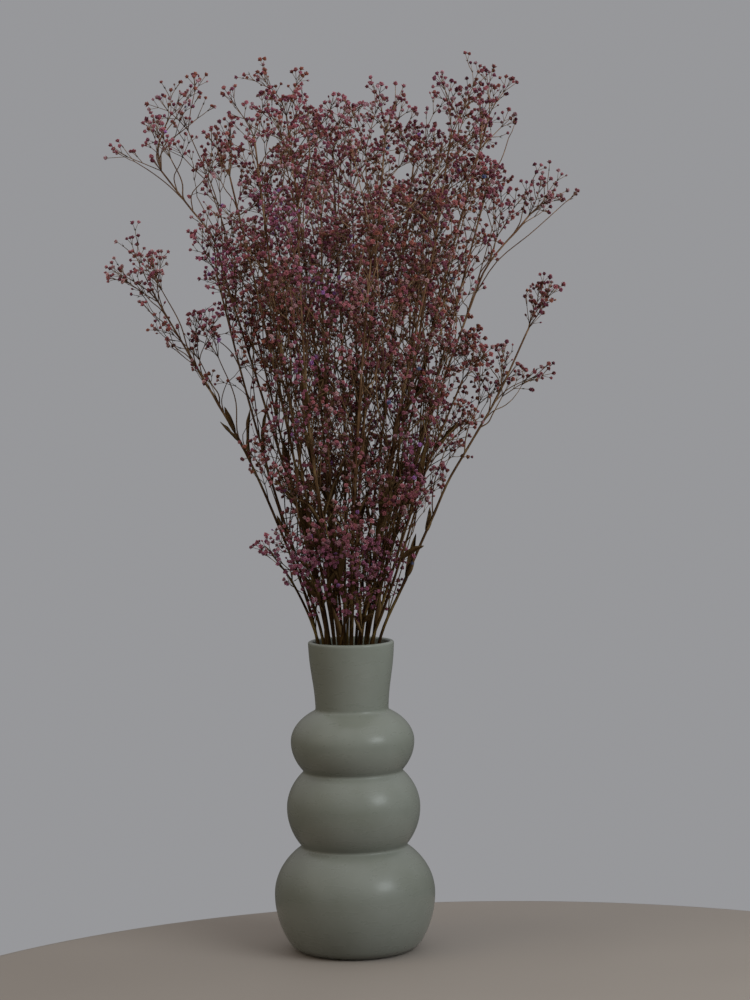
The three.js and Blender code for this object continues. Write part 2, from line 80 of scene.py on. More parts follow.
# Stalks. Above the neck they fan out from a focus on the axis, and below it they stand almost upright.
CUT_HEIGHT = FLOOR + 0.3
FOCUS_HEIGHT = 185
NECK_HEIGHT = 192
NECK_SPREAD = 0.84
FLOOR_SPREAD = 0.95
BUNCH_LEAN = -4
STALK_RADIUS = 1.6
STALK_TIP_RADIUS = 0.8
STALK_SIDES = 4
STALK_STEPS = 4
SWAY = 6
NODE_LENGTH = 2.6
NODE_ROOM = 9

# Side branches
AXIL_LENGTH = 8
AXIL_TILT = 0.5
BRANCH_RADIUS = 0.8
BRANCH_TIP_RADIUS = 0.68
BRANCH_TILT = (0.3, 0.48)
BRANCH_SWING = 0.75
BRANCH_BOW = 0.08
BRANCH_MIDDLE = 0.45
LOW_BRANCH = 92
HIGH_BRANCH = 52
BRANCH_SPREAD = (0.85, 1.15)
HIGHEST_NODE = 0.72

# Forks
SHOOT_RADIUS = 0.6
SHOOT_LENGTH = (20, 32)
SHOOT_TILT = (0.36, 0.56)
PEDICEL_RADIUS = 0.5
PEDICEL_LENGTH = (10, 16)
PEDICEL_TILT = (0.28, 0.5)
CYME_LENGTH = 44
STUB_LENGTH = 3

# Flower heads and leaves
HEAD_RADIUS = 2.7
HEAD_LENGTH = 5
HEAD_ROD = 0.1
LEAF_LENGTH = (18, 40)
LEAF_WIDTH = 6.4
LEAF_FOOT = 0.5
LEAF_SHARES = (0, 0.35, 0.72, 1)
LEAF_WIDTHS = (1, 0.75)
LEAF_TILT = (0.22, 0.4)
LEAF_SWING = 0.37
LEAF_CURL = 0.12
FINE_LEAF = 0.8

# The side branches' heads keep within the bunch: height, left, right. Its depth is a share of its width.
BUNCH = [
    (250, -40, 34), (330, -60, 50), (420, -86, 92), (500, -104, 124), (560, -122, 122), (620, -120, 146),
    (690, -104, 146), (730, -90, 130),
]
BUNCH_DEPTH = 0.85

SEED = 20260
TRIES = 60
STRAY = 0.35
CLEARANCE = 0.45
WHOLE = math.inf
PARALLEL = 1e-9
NO_AREA = 1e-12


def stem(tip, crown, sprays, leaf, via=(), reach=(), is_broken=False):
    """A cut stem: its tip, lowest branching node, number of side branches, height of a leaf pair, points on
    its way, and branches that reach from a height to a place."""
    return SimpleNamespace(
        tip=tip, crown=crown, sprays=sprays, leaf=leaf, via=via, reach=reach, is_broken=is_broken
    )


STEMS = [
    stem(
        (-171, 4, 562), 500, 0, 411,
        via=[(-27, 1, 250), (-60, 3, 352), (-86, 4, 411), (-116, 4, 465)],
        reach=[(411, (-112, -6, 522)), (440, (-136, 14, 518)), (478, (-162, -8, 574))],
    ),
    stem(
        (-172, 14, 664), 590, 0, 0,
        via=[(-19, 4, 250), (-66, 10, 440), (-106, 14, 576)],
        reach=[(520, (-116, 6, 662)), (545, (-134, 22, 704)), (600, (-150, -8, 678))],
    ),
    stem((-97, -30, 664), 440, 2, 330),
    stem((-114, -6, 590), 400, 3, 0, reach=[(330, (-76, -22, 420))]),
    stem((-48, 6, 714), 470, 3, 360),
    stem((-74, -56, 694), 450, 3, 0),
    stem((38, -22, 700), 450, 3, 340),
    stem((-9, 36, 684), 460, 3, 0),
    stem((128, 4, 712), 500, 3, 0),
    stem((94, -36, 696), 470, 3, 370),
    stem((62, 6, 672), 430, 3, 0),
    stem((122, -26, 640), 500, 2, 0, reach=[(370, (76, -44, 470))]),
    stem(
        (176, 6, 622), 480, 0, 0,
        via=[(18, 2, 250), (64, 4, 420), (110, 6, 543)],
        reach=[(535, (138, -6, 612))],
    ),
    stem(
        (165, -8, 538), 330, 0, 300,
        via=[(23, -5, 250), (50, -8, 312), (81, -10, 380), (114, -10, 434)],
        reach=[(350, (86, -24, 446)), (420, (150, -14, 480)), (400, (118, 4, 480))],
    ),
    stem((106, -44, 500), 350, 2, 0),
    stem((-38, -86, 612), 400, 2, 345, reach=[(320, (-46, -66, 400))]),
    stem((24, -96, 596), 390, 2, 0, reach=[(285, (4, -64, 364))]),
    stem((80, -80, 610), 400, 2, 350, reach=[(296, (46, -58, 384))]),
    stem((-69, 70, 656), 430, 2, 0, reach=[(300, (-44, 50, 384))]),
    stem((7, 94, 658), 420, 2, 360, reach=[(330, (14, 70, 420))]),
    stem((79, 72, 668), 430, 2, 0, reach=[(300, (40, 52, 384))]),
    stem((-19, -34, 640), 430, 2, 300),
    stem((-83, 56, 540), 380, 2, 0),
    stem((66, -60, 396), 300, 2, 0),
    stem((-42, -44, 352), 290, 1, 0),
    stem((-12, -58, 352), 290, 1, 0),
    stem((28, -40, 334), 280, 1, 0),
    stem((-21, 66, 410), 310, 2, 0),
    stem((59, 56, 420), 310, 2, 0),
    stem(
        (-65, -10, 326), 0, 0, 0, is_broken=True,
        via=[(-26, -9, 250), (-46, -9, 299)],
        reach=[(299, (-47, -14, 354))],
    ),
]


# Seeded random numbers (mulberry32)
class Dice:
    MASK = 0xFFFFFFFF

    def __init__(self, seed):
        self.seed = seed

    def roll(self):
        self.seed = (self.seed + 0x6D2B79F5) & self.MASK
        t = ((self.seed ^ (self.seed >> 15)) * (1 | self.seed)) & self.MASK
        t = ((t + (t ^ (t >> 7)) * (61 | t)) & self.MASK) ^ t
        return (t ^ (t >> 14)) / 4294967296

    def between(self, low, high):
        return low + (high - low) * self.roll()

    def turn(self):
        return self.roll() * 2 * math.pi


# Vectors
def point(values):
    return np.array(values, float)


def dot(a, b):
    return a[0] * b[0] + a[1] * b[1] + a[2] * b[2]


def cross(a, b):
    return np.array(
        (a[1] * b[2] - a[2] * b[1], a[2] * b[0] - a[0] * b[2], a[0] * b[1] - a[1] * b[0])
    )


def length_of(v):
    return math.sqrt(dot(v, v))


def unit(v):
    return v / length_of(v)


def partway(a, b, share):
    return a + (b - a) * share


def tangents(path):
    last = len(path) - 1
    return [unit(path[min(last, i + 1)] - path[max(0, i - 1)]) for i in range(last + 1)]


def levelled(vector, way):
    """The direction nearest to a vector that is square to way."""
    return unit(vector - way * dot(vector, way))


def turned(way, side, turn):
    """A direction square to way, turned round it from side."""
    return side * math.cos(turn) + cross(way, side) * math.sin(turn)


def leaning(way, outward, tilt):
    return way * math.cos(tilt) + outward * math.sin(tilt)


def side_turn(k, sides):
    return (k + 0.5) * 2 * math.pi / sides


# Growth of the stems, draw for draw as in the solids
dice = Dice(SEED)


def make_shoot(path, radii, sides, start):
    ways = tangents(path)
    starts = []
    side = start
    for way in ways:
        side = levelled(side, way)
        starts.append(side)
    return SimpleNamespace(
        path=path, radii=radii, sides=sides, ways=ways, starts=starts,
        open=[[] for _ in path], children=[], is_broken=False,
    )


def first_corner(way, outward, heading, sides):
    edge = levelled(cross(way, outward), heading)
    return turned(heading, edge, -math.pi / 2 - math.pi / sides)


def grow_fork(shoot):
    end = shoot.path[-1]
    way = shoot.ways[-1]
    for k in range(shoot.sides):
        forks = shoot.sides > 3 and k % 2 == 0
        outward = turned(way, shoot.starts[-1], side_turn(k, shoot.sides))
        heading = leaning(way, outward, dice.between(*(SHOOT_TILT if forks else PEDICEL_TILT)))
        path = [end, end + heading * dice.between(*(SHOOT_LENGTH if forks else PEDICEL_LENGTH))]
        radius = SHOOT_RADIUS if forks else PEDICEL_RADIUS
        child = make_shoot(path, [radius, radius], 3, first_corner(way, outward, heading, 3))
        if forks:
            grow_fork(child)
        shoot.children.append(child)


class Thicket:
    """The round-ended rods of what has grown. The list of rods also keeps some that were given up again."""

    ROOM = 8192
    FIELDS = ("radius", "stem", "is_rooted", "is_stalk", "is_leaf", "at_a", "at_b", "flower_of")

    def __init__(self):
        self.count = 0
        self.a = np.zeros((self.ROOM, 3))
        self.b = np.zeros((self.ROOM, 3))
        self.columns = {name: np.zeros(self.ROOM) for name in self.FIELDS}
        self.rods = []

    def add(self, rods):
        self.rods += rods
        for rod in rods:
            self.a[self.count] = rod.a
            self.b[self.count] = rod.b
            for name, column in self.columns.items():
                column[self.count] = getattr(rod, name)
            self.count += 1

    def is_apart(self, rod, first=0):
        """Whether a rod keeps its distance from the rods from first on."""
        n = slice(first, self.count)
        if first >= self.count:
            return True
        col = {name: column[n] for name, column in self.columns.items()}
        gap = stretch_distance(rod.a, rod.b, self.a[n], self.b[n]) - rod.radius - col["radius"]
        near = gap <= CLEARANCE
        if not near.any():
            return True
        joined = (col["is_rooted"] * rod.is_rooted > 0) | (col["is_leaf"] * rod.is_stalk > 0)
        joined |= col["is_stalk"] * rod.is_leaf > 0
        joined |= (col["at_a"] == rod.at_a) | (col["at_b"] == rod.at_a) | (col["at_a"] == rod.at_b)
        joined |= (col["flower_of"] == rod.at_b) | (col["at_b"] == rod.flower_of)
        joined &= col["stem"] == rod.stem
        return not (near & ~joined).any()


def stretch_distance(a, b, c, d):
    """The distance from one straight stretch to each of many."""
    u = b - a
    v = d - c
    w = a - c
    uu = dot(u, u)
    vv = (v * v).sum(1)
    uv = v @ u
    uw = w @ u
    vw = (v * w).sum(1)
    flat = uu * vv - uv * uv
    nearest = (uv * vw - vv * uw) / np.maximum(flat, NO_AREA)
    s = np.where(flat > PARALLEL, np.clip(nearest, 0, 1), 0)
    t = np.clip((uv * s + vw) / vv, 0, 1)
    s = np.clip((uv * t - uw) / uu, 0, 1)
    away = w + u * s[:, None] - v * t[:, None]
    return np.sqrt((away * away).sum(1))


thicket = Thicket()
NOWHERE = -1


def make_rod(a, b, radius, index, is_rooted=False, is_stalk=False, is_leaf=False, flower_of=None):
    return SimpleNamespace(
        a=a, b=b, radius=radius, stem=index, is_rooted=is_rooted, is_stalk=is_stalk, is_leaf=is_leaf,
        at_a=id(a), at_b=id(b), flower_of=NOWHERE if flower_of is None else id(flower_of),
    )


def rods_of(shoot, index, rooted):
    rods = []
    for i, (a, b) in enumerate(zip(shoot.path, shoot.path[1:])):
        radius = max(shoot.radii[i], shoot.radii[i + 1])
        rods.append(make_rod(a, b, radius, index, is_rooted=i < rooted, is_stalk=rooted == WHOLE))
    if shoot.is_broken:
        return rods
    for child in shoot.children:
        rods += rods_of(child, index, 0)
    if not shoot.children:
        end = shoot.path[-1]
        head = end + shoot.ways[-1] * (HEAD_LENGTH / 2)
        top = head + shoot.ways[-1] * HEAD_ROD
        rods.append(make_rod(head, top, HEAD_RADIUS, index, flower_of=end))
    return rods


def are_clear(rods):
    """Whether rods keep clear of each other and of all that has grown."""
    first = thicket.count
    if not all(thicket.is_apart(rod) for rod in rods):
        return False
    thicket.add(rods)
    for i, rod in enumerate(rods):
        if not thicket.is_apart(rod, first + i + 1):
            thicket.count = first
            return False
    return True


def middle_and_half(outline, z):
    """The middle of an outline at a height, and half its width there."""
    heights, lefts, rights = zip(*outline)
    left = float(np.interp(z, heights, lefts))
    half = (float(np.interp(z, heights, rights)) - left) / 2
    return left + half, half


def out_share(place, outline, depth):
    """How far out a place is in an outline: 0 on its middle line, 1 on its outside."""
    x, y, z = place
    middle, half = middle_and_half(outline, z)
    return math.hypot((x - middle) / half, y / (half * depth))


def stalk_path(stem, turn, stray):
    aside = point((math.cos(turn), math.sin(turn), 0))
    tip = point(stem.tip) + aside * stray
    share = (VASE_HEIGHT - FOCUS_HEIGHT) / (tip[2] - FOCUS_HEIGHT)
    crossing = point((tip[0] * share + BUNCH_LEAN, tip[1] * share, VASE_HEIGHT))
    rim = point(stem.via[0]) if stem.via else crossing
    under = [
        point((rim[0] * FLOOR_SPREAD, rim[1] * FLOOR_SPREAD, CUT_HEIGHT)),
        point((rim[0] * NECK_SPREAD, rim[1] * NECK_SPREAD, NECK_HEIGHT)),
    ]
    last = point(stem.via[-1]) if stem.via else rim
    fork = partway(tip, last, 0 if stem.is_broken else CYME_LENGTH / length_of(tip - last))
    if stem.via:
        return [*under, *map(point, stem.via), fork]
    over = [
        partway(rim, fork, i / STALK_STEPS) + aside * (SWAY * math.sin(math.pi * i / STALK_STEPS))
        for i in range(STALK_STEPS + 1)
    ]
    return [*under, *over]


def with_nodes(path, heights):
    added = []
    for height in heights:
        for level in (height - NODE_LENGTH / 2, height + NODE_LENGTH / 2):
            above = next(k for k, place in enumerate(path) if k > 0 and place[2] >= level)
            low, high = path[above - 1], path[above]
            added.append(partway(low, high, (level - low[2]) / (high[2] - low[2])))
    kept = [place for place in path if all(abs(place[2] - height) > NODE_ROOM for height in heights)]
    return sorted([*kept, *added], key=lambda place: place[2])


def stalk_radius(height, top):
    share = max(0, (height - VASE_HEIGHT) / (top - VASE_HEIGHT))
    return STALK_RADIUS + (STALK_TIP_RADIUS - STALK_RADIUS) * share


def plan_nodes(stem):
    nodes = defaultdict(list)
    if stem.leaf:
        for side in (0, 2):
            nodes[stem.leaf].append({"side": side})
    for height, target in stem.reach:
        nodes[height].append({"target": point(target)})
    levels = math.ceil(stem.sprays / 2)
    highest = stem.crown + (stem.tip[2] - stem.crown) * HIGHEST_NODE - CYME_LENGTH
    for k in range(stem.sprays):
        level = k // 2
        share = level / (levels - 1) if levels > 1 else 0
        size = LOW_BRANCH + (HIGH_BRANCH - LOW_BRANCH) * share
        height = stem.crown + (highest - stem.crown) * share
        nodes[height].append({"side": (level + 1) % 2 + 2 * (k % 2), "size": size})
    return sorted(nodes.items(), key=lambda entry: entry[0])


def grow_stalk(stem, index):
    nodes = plan_nodes(stem)
    for i in range(TRIES):
        path = with_nodes(stalk_path(stem, dice.turn(), i * STRAY), [height for height, _ in nodes])
        radii = [stalk_radius(place[2], stem.tip[2]) for place in path]
        roll = dice.turn()
        stalk = make_shoot(path, radii, STALK_SIDES, point((math.cos(roll), math.sin(roll), 0)))
        if stem.is_broken:
            stalk.is_broken = True
        else:
            grow_fork(stalk)
        if are_clear(rods_of(stalk, index, WHOLE)):
            return SimpleNamespace(
                stem=stem, index=index, stalk=stalk, nodes=nodes, branches=[], leaves=[]
            )
    raise RuntimeError(f"stem {index + 1} has no clear way up")


def make_branch(node, outward, end):
    heading = leaning(node.way, outward, AXIL_TILT)
    axil = node.place + heading * AXIL_LENGTH
    reach = end - node.place
    bow = levelled(reach, node.way) * (BRANCH_BOW * length_of(reach))
    middle = partway(node.place, end, BRANCH_MIDDLE) + bow
    start = first_corner(node.way, outward, heading, STALK_SIDES)
    radii = [BRANCH_RADIUS, BRANCH_RADIUS, BRANCH_RADIUS, BRANCH_TIP_RADIUS]
    branch = make_shoot([node.place, axil, middle, end], radii, STALK_SIDES, start)
    grow_fork(branch)
    return branch


def grow_branch(node, outward, choose_end, may_grow):
    for i in range(TRIES):
        branch = make_branch(node, outward, choose_end(i))
        rods = rods_of(branch, node.stem, 1)
        if may_grow(rods) and are_clear(rods):
            return branch
    return None


def grow_reach(node, outward, target):
    reach = target - node.place
    fork = node.place + unit(reach) * (length_of(reach) - CYME_LENGTH)

    def choose_end(i):
        return fork + point((0, i if i % 2 else -i, 0))

    return grow_branch(node, outward, choose_end, lambda rods: True)


def grow_spray(node, outward, size, top):
    def choose_end(_):
        length = min(size * dice.between(*BRANCH_SPREAD), top - CYME_LENGTH - node.place[2])
        swung = turned(node.way, outward, dice.between(-BRANCH_SWING, BRANCH_SWING))
        return node.place + leaning(node.way, swung, dice.between(*BRANCH_TILT)) * length

    def are_inside(rods):
        heads = [rod.a for rod in rods if rod.flower_of != NOWHERE]
        return all(out_share(head, BUNCH, BUNCH_DEPTH) < 1 for head in heads)

    return grow_branch(node, outward, choose_end, are_inside)


def leaf_path(foot, heading, out, length, curl, shares):
    return [foot + heading * (share * length) + out * (curl * length * share * share) for share in shares]


def grow_leaf(node, outward):
    for _ in range(TRIES):
        length = dice.between(*LEAF_LENGTH)
        swung = turned(node.way, outward, dice.between(-LEAF_SWING, LEAF_SWING))
        heading = leaning(node.way, swung, dice.between(*LEAF_TILT))
        path = leaf_path(node.place, heading, outward, length, LEAF_CURL, LEAF_SHARES)
        rods = []
        for k, (a, b) in enumerate(zip(path, path[1:])):
            half = LEAF_WIDTH * (LEAF_WIDTHS[k - 1] if k else LEAF_FOOT) / 2
            rods.append(make_rod(a, b, half, node.stem, is_rooted=k == 0, is_leaf=True))
        if are_clear(rods):
            across = levelled(cross(node.way, outward), heading)
            return SimpleNamespace(path=path, across=across, width=LEAF_WIDTH * FINE_LEAF)
    return None


def grow_nodes(plant):
    stalk = plant.stalk
    for height, items in plant.nodes:
        below = next(i for i, place in enumerate(stalk.path) if place[2] > height) - 1
        way = stalk.ways[below]
        place = partway(stalk.path[below], stalk.path[below + 1], 0.5)
        node = SimpleNamespace(stem=plant.index, place=place, way=way)
        faces = [
            turned(way, stalk.starts[below], side_turn(k, STALK_SIDES)) for k in range(STALK_SIDES)
        ]
        for item in items:
            target = item.get("target")
            chosen = item.get("side")
            if target is not None:
                free = [k for k in range(STALK_SIDES) if k not in stalk.open[below]]
                chosen = max(free, key=lambda k: dot(faces[k], target) - dot(faces[k], place))
                offshoot = grow_reach(node, faces[chosen], target)
            elif "size" in item:
                offshoot = grow_spray(node, faces[chosen], item["size"], plant.stem.tip[2])
            else:
                offshoot = grow_leaf(node, faces[chosen])
            if offshoot:
                stalk.open[below].append(chosen)
                is_leaf = target is None and "size" not in item
                (plant.leaves if is_leaf else plant.branches).append(offshoot)


plants = [grow_stalk(stem, index) for index, stem in enumerate(STEMS)]
for plant in plants:
    grow_nodes(plant)


# Fine growth: twigs and flowers that are too small or too many for the solids
rng = np.random.default_rng(SEED)

STALK_SAMPLES = 64
BRANCH_SAMPLES = 14
CYME_SAMPLES = 10
# Tubes: sides, and radii from foot to end. A stalk's radii are a share of the solid's.
TUBE_SIDES = {"stalk": 7, "branch": 6, "shoot": 5, "pedicel": 4, "sprig": 3}
FINE_STALK = 0.78
FINE_BRANCH = (0.62, 0.42)
FINE_SHOOT = (0.4, 0.36, 0.32)
FINE_CYME = (0.5, 0.34)
FINE_SPRIG = (0.34, 0.27)
FINE_PEDICEL = (0.24, 0.18)
SHOWN_PEDICEL = (0.27, 0.2)
NODE_SWELL = 0.3
NODE_REACH = 2.5
STUB_ASIDE = 0.4
STUB_TIP = 0.25

# Heads: ranges of their size as a share of the full one, and the shares of buds among them
TIP_HEAD = (0.62, 0.86)
SIDE_HEAD = (0.62, 0.84)
FORK_HEAD = (0.7, 0.92)
SHOWN_HEAD = (0.82, 0.98)
TIP_BUDS = 0.18
SIDE_BUDS = 0.2
HEAD_GAP = 2.6
HEAD_MIDDLE = 2
HEAD_SINK = 0.6

# Sprigs. Pairs named spread, tilt, fork or pedicel are ranges to draw from, and tilts are in radians.
# A shoot's sprig has the lengths of its twigs from foot to tips.
SPRIG_SPREAD = (0.8, 1.2)
SPRIG_TILT = (0.42, 0.72)
SPRIG_BOW = 0.04
MIDDLE_SPREAD = (0.6, 1)
MIDDLE_TILT = (0.05, 0.2)
SIDE_TILT = (0.5, 0.8)
SIDE_SHARE = 0.8
SIDE_FORK = (0.3, 0.55)
SIDE_PEDICEL = (5, 8)
SHOOT_BOW = 0.7
SHOOT_SPRIG = (7, 5.5)
SPRIG_PLACES = (0.36, 0.7)
AIRY_PLACES = (0.55,)
AIRY_TOP = 620
BOW_AT_SPRIG = 0.9

# Clusters between the solids' twigs, each on a twig of its own from a stalk
CYMES = 560
CYME_TRIES = 50
CYME_GAP = 16.5
CYME_HEIGHTS = (296, 690)
INNER_BUNCH = 0.9
OUTWARD = 0.4
BESIDE_SHARE = 0.45
BESIDE_TWIG = (3, 12)
TWIG_SHARES = (0.3, 0.6, 0.9)
STRAY_FLOWER = 8
CYME_ROOT = 34
LONG_ROOT = (90, 250)
LONG_SHARE = 0.42
LOWEST_ROOT = 252
KNEE_SHARE = 0.3
KNEE_FOLLOW = 0.8
TWIG_MIDDLE = 0.55
TWIG_SWAY = 1.5
CYME_DEPTH = 12
CYME_TILT = (0.35, 0.6)
CYME_SPRIG = (15, 9.5, 6.5)
CYME_MIDDLE = (11, 6.5)
CYME_MIDDLE_TILT = 0.12
# By height: the share of places that are kept, and how steeply a cluster's twig has to rise
CYME_SHARES = ((590, 650, 690), (1, 0.3, 0.05))
STEEPNESS = ((340, 400), (0.6, 0.74))

# The photograph's outline of the flowers: height, left and right
FRONT = [
    (262, -34, 28), (285, -42, 38), (300, -48, 41), (350, -60, 56), (380, -64, 78), (430, -80, 106),
    (490, -96, 104), (540, -116, 112), (600, -124, 140), (650, -110, 126), (672, -86, 130), (720, -86, 122),
]
# The tops of its clusters from left to right: x and height
TOPS = tuple(zip(
    (-130, 600), (-112, 655), (-96, 664), (-84, 700), (-64, 716), (-34, 712), (-24, 676), (0, 680),
    (20, 690), (44, 688), (54, 672), (66, 680), (76, 706), (112, 712), (128, 694), (142, 640), (180, 626),
))

# Clumps that the photograph shows low in front, over the rim, and at the tips
LOW_CLUMPS = [
    (-42, -30, 336), (-34, -38, 318), (-24, -42, 336), (-34, -26, 298), (-12, -46, 322), (2, -48, 332),
    (13, -46, 314), (23, -38, 328), (8, -44, 294), (21, -36, 304), (-3, -42, 304), (15, -36, 282),
    (26, -28, 290), (-18, -38, 288), (31, -34, 314), (5, -38, 280), (-44, -34, 352), (14, -44, 300),
    (20, -40, 292), (2, -46, 290), (26, -40, 308), (9, -42, 308), (18, -46, 318), (12, -40, 288),
    (24, -32, 284), (28, -34, 300), (16, -46, 306), (6, -46, 300), (-8, -42, 296),
]
SPRAY_CLUMPS = [
    (-125, 12, 696), (-137, 8, 684), (-116, 14, 682), (-146, 4, 668), (-166, 6, 648), (-154, 0, 640),
    (-128, 10, 652), (-134, 16, 668), (-166, 0, 572), (-174, 6, 556), (-160, -4, 543), (-151, 4, 524),
    (-142, 0, 506), (-128, 8, 490), (-113, -4, 500), (-115, 6, 472), (-103, 0, 456), (163, 4, 618),
    (172, 0, 606), (152, 8, 599), (144, -2, 610), (156, -6, 528), (146, -10, 514), (140, -8, 468),
    (124, -4, 470), (112, -10, 484), (108, 0, 470), (96, -14, 474), (-56, 4, 704), (104, -4, 702),
    (-74, 10, 676),
]
CLUMP_RADIUS = 15
# Below this height the bunch is deeper
LOW_BLOOM = 350
LOW_DEPTH = 1.5


class Finery:
    """What a stem gets beyond its solid: tubes, flower heads and the scales at its forks."""

    def __init__(self):
        self.tubes = []
        self.heads = []
        self.bracts = []

    def tube(self, path, radii, kind):
        self.tubes.append((np.array(path), np.array(radii), TUBE_SIDES[kind]))

    def marks(self):
        return len(self.tubes), len(self.heads), len(self.bracts)

    def prune(self, marks):
        """Takes back a twig, if nothing has flowered on it since its marks."""
        if len(self.heads) == marks[1]:
            del self.tubes[marks[0]:]
            del self.bracts[marks[2]:]


def stretches(path):
    """The length of each stretch of a path, and the distance of each of its points from its start."""
    spans = np.linalg.norm(np.diff(path, axis=0), axis=1)
    return spans, np.concatenate(([0], np.cumsum(spans)))


def units(vectors):
    return vectors / np.linalg.norm(vectors, axis=-1, keepdims=True)


def spline(path, count):
    """Points at even distances on a smooth curve through a path, their distances and the path's own."""
    path = np.array(path)
    spans, marks = stretches(path)
    slopes = np.diff(path, axis=0) / spans[:, None]
    weight = (spans[:-1] / (spans[:-1] + spans[1:]))[:, None]
    bends = np.vstack((slopes[:1], slopes[:-1] * (1 - weight) + slopes[1:] * weight, slopes[-1:]))
    along = np.linspace(0, marks[-1], count)
    i = np.clip(np.searchsorted(marks, along, "right") - 1, 0, len(spans) - 1)
    span = spans[i][:, None]
    t = ((along - marks[i]) / spans[i])[:, None]
    curve = (2 * t**3 - 3 * t**2 + 1) * path[i] + (t**3 - 2 * t**2 + t) * span * bends[i]
    curve += (3 * t**2 - 2 * t**3) * path[i + 1] + (t**3 - t**2) * span * bends[i + 1]
    return curve, along, marks


def any_side(way):
    """A random direction square to way."""
    return levelled(rng.normal(size=3), way)


clumps = np.array(SPRAY_CLUMPS, float)
twig_rods = [
    rod for rod in thicket.rods if not (rod.is_stalk or rod.is_leaf or rod.flower_of != NOWHERE)
]
twig_starts = np.array([rod.a for rod in twig_rods])
twig_spans = np.array([rod.b for rod in twig_rods]) - twig_starts
twig_squares = (twig_spans**2).sum(1)


def is_in_bunch(place):
    """Whether a place is in the outline of the bunch and not above its tops."""
    x, _, z = place
    depth = LOW_DEPTH if z < LOW_BLOOM else BUNCH_DEPTH
    return z < np.interp(x, *TOPS) and out_share(place, FRONT, depth) < 1


def is_within(place):
    """Whether a place is in the bunch, in a spray's clump or close to a twig of the solids."""
    if is_in_bunch(place) or ((clumps - place) ** 2).sum(1).min() < CLUMP_RADIUS**2:
        return True
    away = place - twig_starts
    share = np.clip((away * twig_spans).sum(1) / twig_squares, 0, 1)
    stray = STRAY_FLOWER if place[2] < np.interp(place[0], *TOPS) else STRAY_FLOWER / 2
    return ((away - twig_spans * share[:, None]) ** 2).sum(1).min() < stray**2


taken = defaultdict(list)


def has_room(place):
    """Whether a small flower keeps its distance from the other small ones. If so, it takes its place."""
    cell = tuple(int(c // HEAD_GAP) for c in place)
    for step in itertools.product((-1, 0, 1), repeat=3):
        for other in taken.get(tuple(c + s for c, s in zip(cell, step)), ()):
            away = place - other
            if dot(away, away) < HEAD_GAP * HEAD_GAP:
                return False
    taken[cell].append(place)
    return True


def add_flower(finery, start, way, length, size, is_bud=False):
    """A pedicel with a head on it, if there is room."""
    end = start + way * length
    if is_within(end) and has_room(end + way * (HEAD_MIDDLE * size)):
        finery.tube([start, end + way * HEAD_SINK], FINE_PEDICEL, "sprig")
        finery.heads.append((end, way, size, is_bud))


def add_sprig(finery, start, way, side, lengths):
    """A twig that parts in three at its end: a flower between two smaller twigs, and so on to the tips."""
    length = lengths[0] * rng.uniform(*SPRIG_SPREAD)
    if len(lengths) == 1:
        add_flower(finery, start, way, length, rng.uniform(*TIP_HEAD), rng.random() < TIP_BUDS)
        return
    end = start + way * length
    if not is_within(end):
        return
    marks = finery.marks()
    bow = any_side(way) * (length * SPRIG_BOW)
    finery.tube([start, (start + end) / 2 + bow, end], np.linspace(*FINE_SPRIG, 3), "sprig")
    finery.bracts.append((end, way, side))
    across = levelled(cross(way, side), way)
    middle = leaning(way, any_side(way), rng.uniform(*MIDDLE_TILT))
    add_flower(finery, end, middle, lengths[-1] * rng.uniform(*MIDDLE_SPREAD), rng.uniform(*FORK_HEAD))
    for sign in (-1, 1):
        heading = leaning(way, side * sign, rng.uniform(*SPRIG_TILT))
        add_sprig(finery, end, unit(heading), levelled(across, heading), lengths[1:])
    finery.prune(marks)


def dress_pedicel(finery, start, child):
    """A solid's flower stalk with a head, and mostly a pair of smaller ones beside it."""
    end = child.path[-1]
    way = child.ways[-1]
    finery.tube([start, end + way * HEAD_SINK], SHOWN_PEDICEL, "pedicel")
    finery.heads.append((end, way, rng.uniform(*SHOWN_HEAD), False))
    if rng.random() < SIDE_SHARE:
        fork = partway(start, end, rng.uniform(*SIDE_FORK))
        side = any_side(way)
        for sign in (-1, 1):
            heading = leaning(way, side * sign, rng.uniform(*SIDE_TILT))
            length, size = rng.uniform(*SIDE_PEDICEL), rng.uniform(*SIDE_HEAD)
            add_flower(finery, fork, heading, length, size, rng.random() < SIDE_BUDS)


def dress_fork(finery, shoot):
    """The fine twigs of a shoot's fork."""
    end = shoot.path[-1]
    finery.bracts.append((end, shoot.ways[-1], shoot.starts[-1]))
    for child in shoot.children:
        if not child.children:
            dress_pedicel(finery, end, child)
            continue
        tip = child.path[-1]
        way = child.ways[-1]
        bow = any_side(way) * SHOOT_BOW
        finery.tube([end, partway(end, tip, 0.5) + bow, tip], FINE_SHOOT, "shoot")
        for share in SPRIG_PLACES if tip[2] < AIRY_TOP else AIRY_PLACES:
            root = partway(end, tip, share) + bow * BOW_AT_SPRIG
            side = any_side(way)
            for sign in (-1, 1):
                heading = leaning(way, side * sign, rng.uniform(*SIDE_TILT))
                add_sprig(finery, root, heading, any_side(heading), SHOOT_SPRIG)
        dress_fork(finery, child)


def dress_stalk(plant):
    """A stalk's round length with a swelling at each node."""
    stalk = plant.stalk
    path, along, marks = spline(stalk.path, STALK_SAMPLES)
    radii = np.interp(along, marks, stalk.radii) * FINE_STALK
    for height, _ in plant.nodes:
        radii *= 1 + NODE_SWELL * np.exp(-(((path[:, 2] - height) / NODE_REACH) ** 2))
    if stalk.is_broken:
        end = stalk.path[-1] + stalk.ways[-1] * STUB_LENGTH
        path = np.vstack((path, end + np.cross(stalk.ways[-1], stalk.starts[-1]) * STUB_ASIDE))
        radii = np.append(radii, STUB_TIP)
    plant.finery.tube(path, radii, "stalk")
    plant.spine = path
    plant.is_inner = np.array([is_in_bunch(place) for place in path])


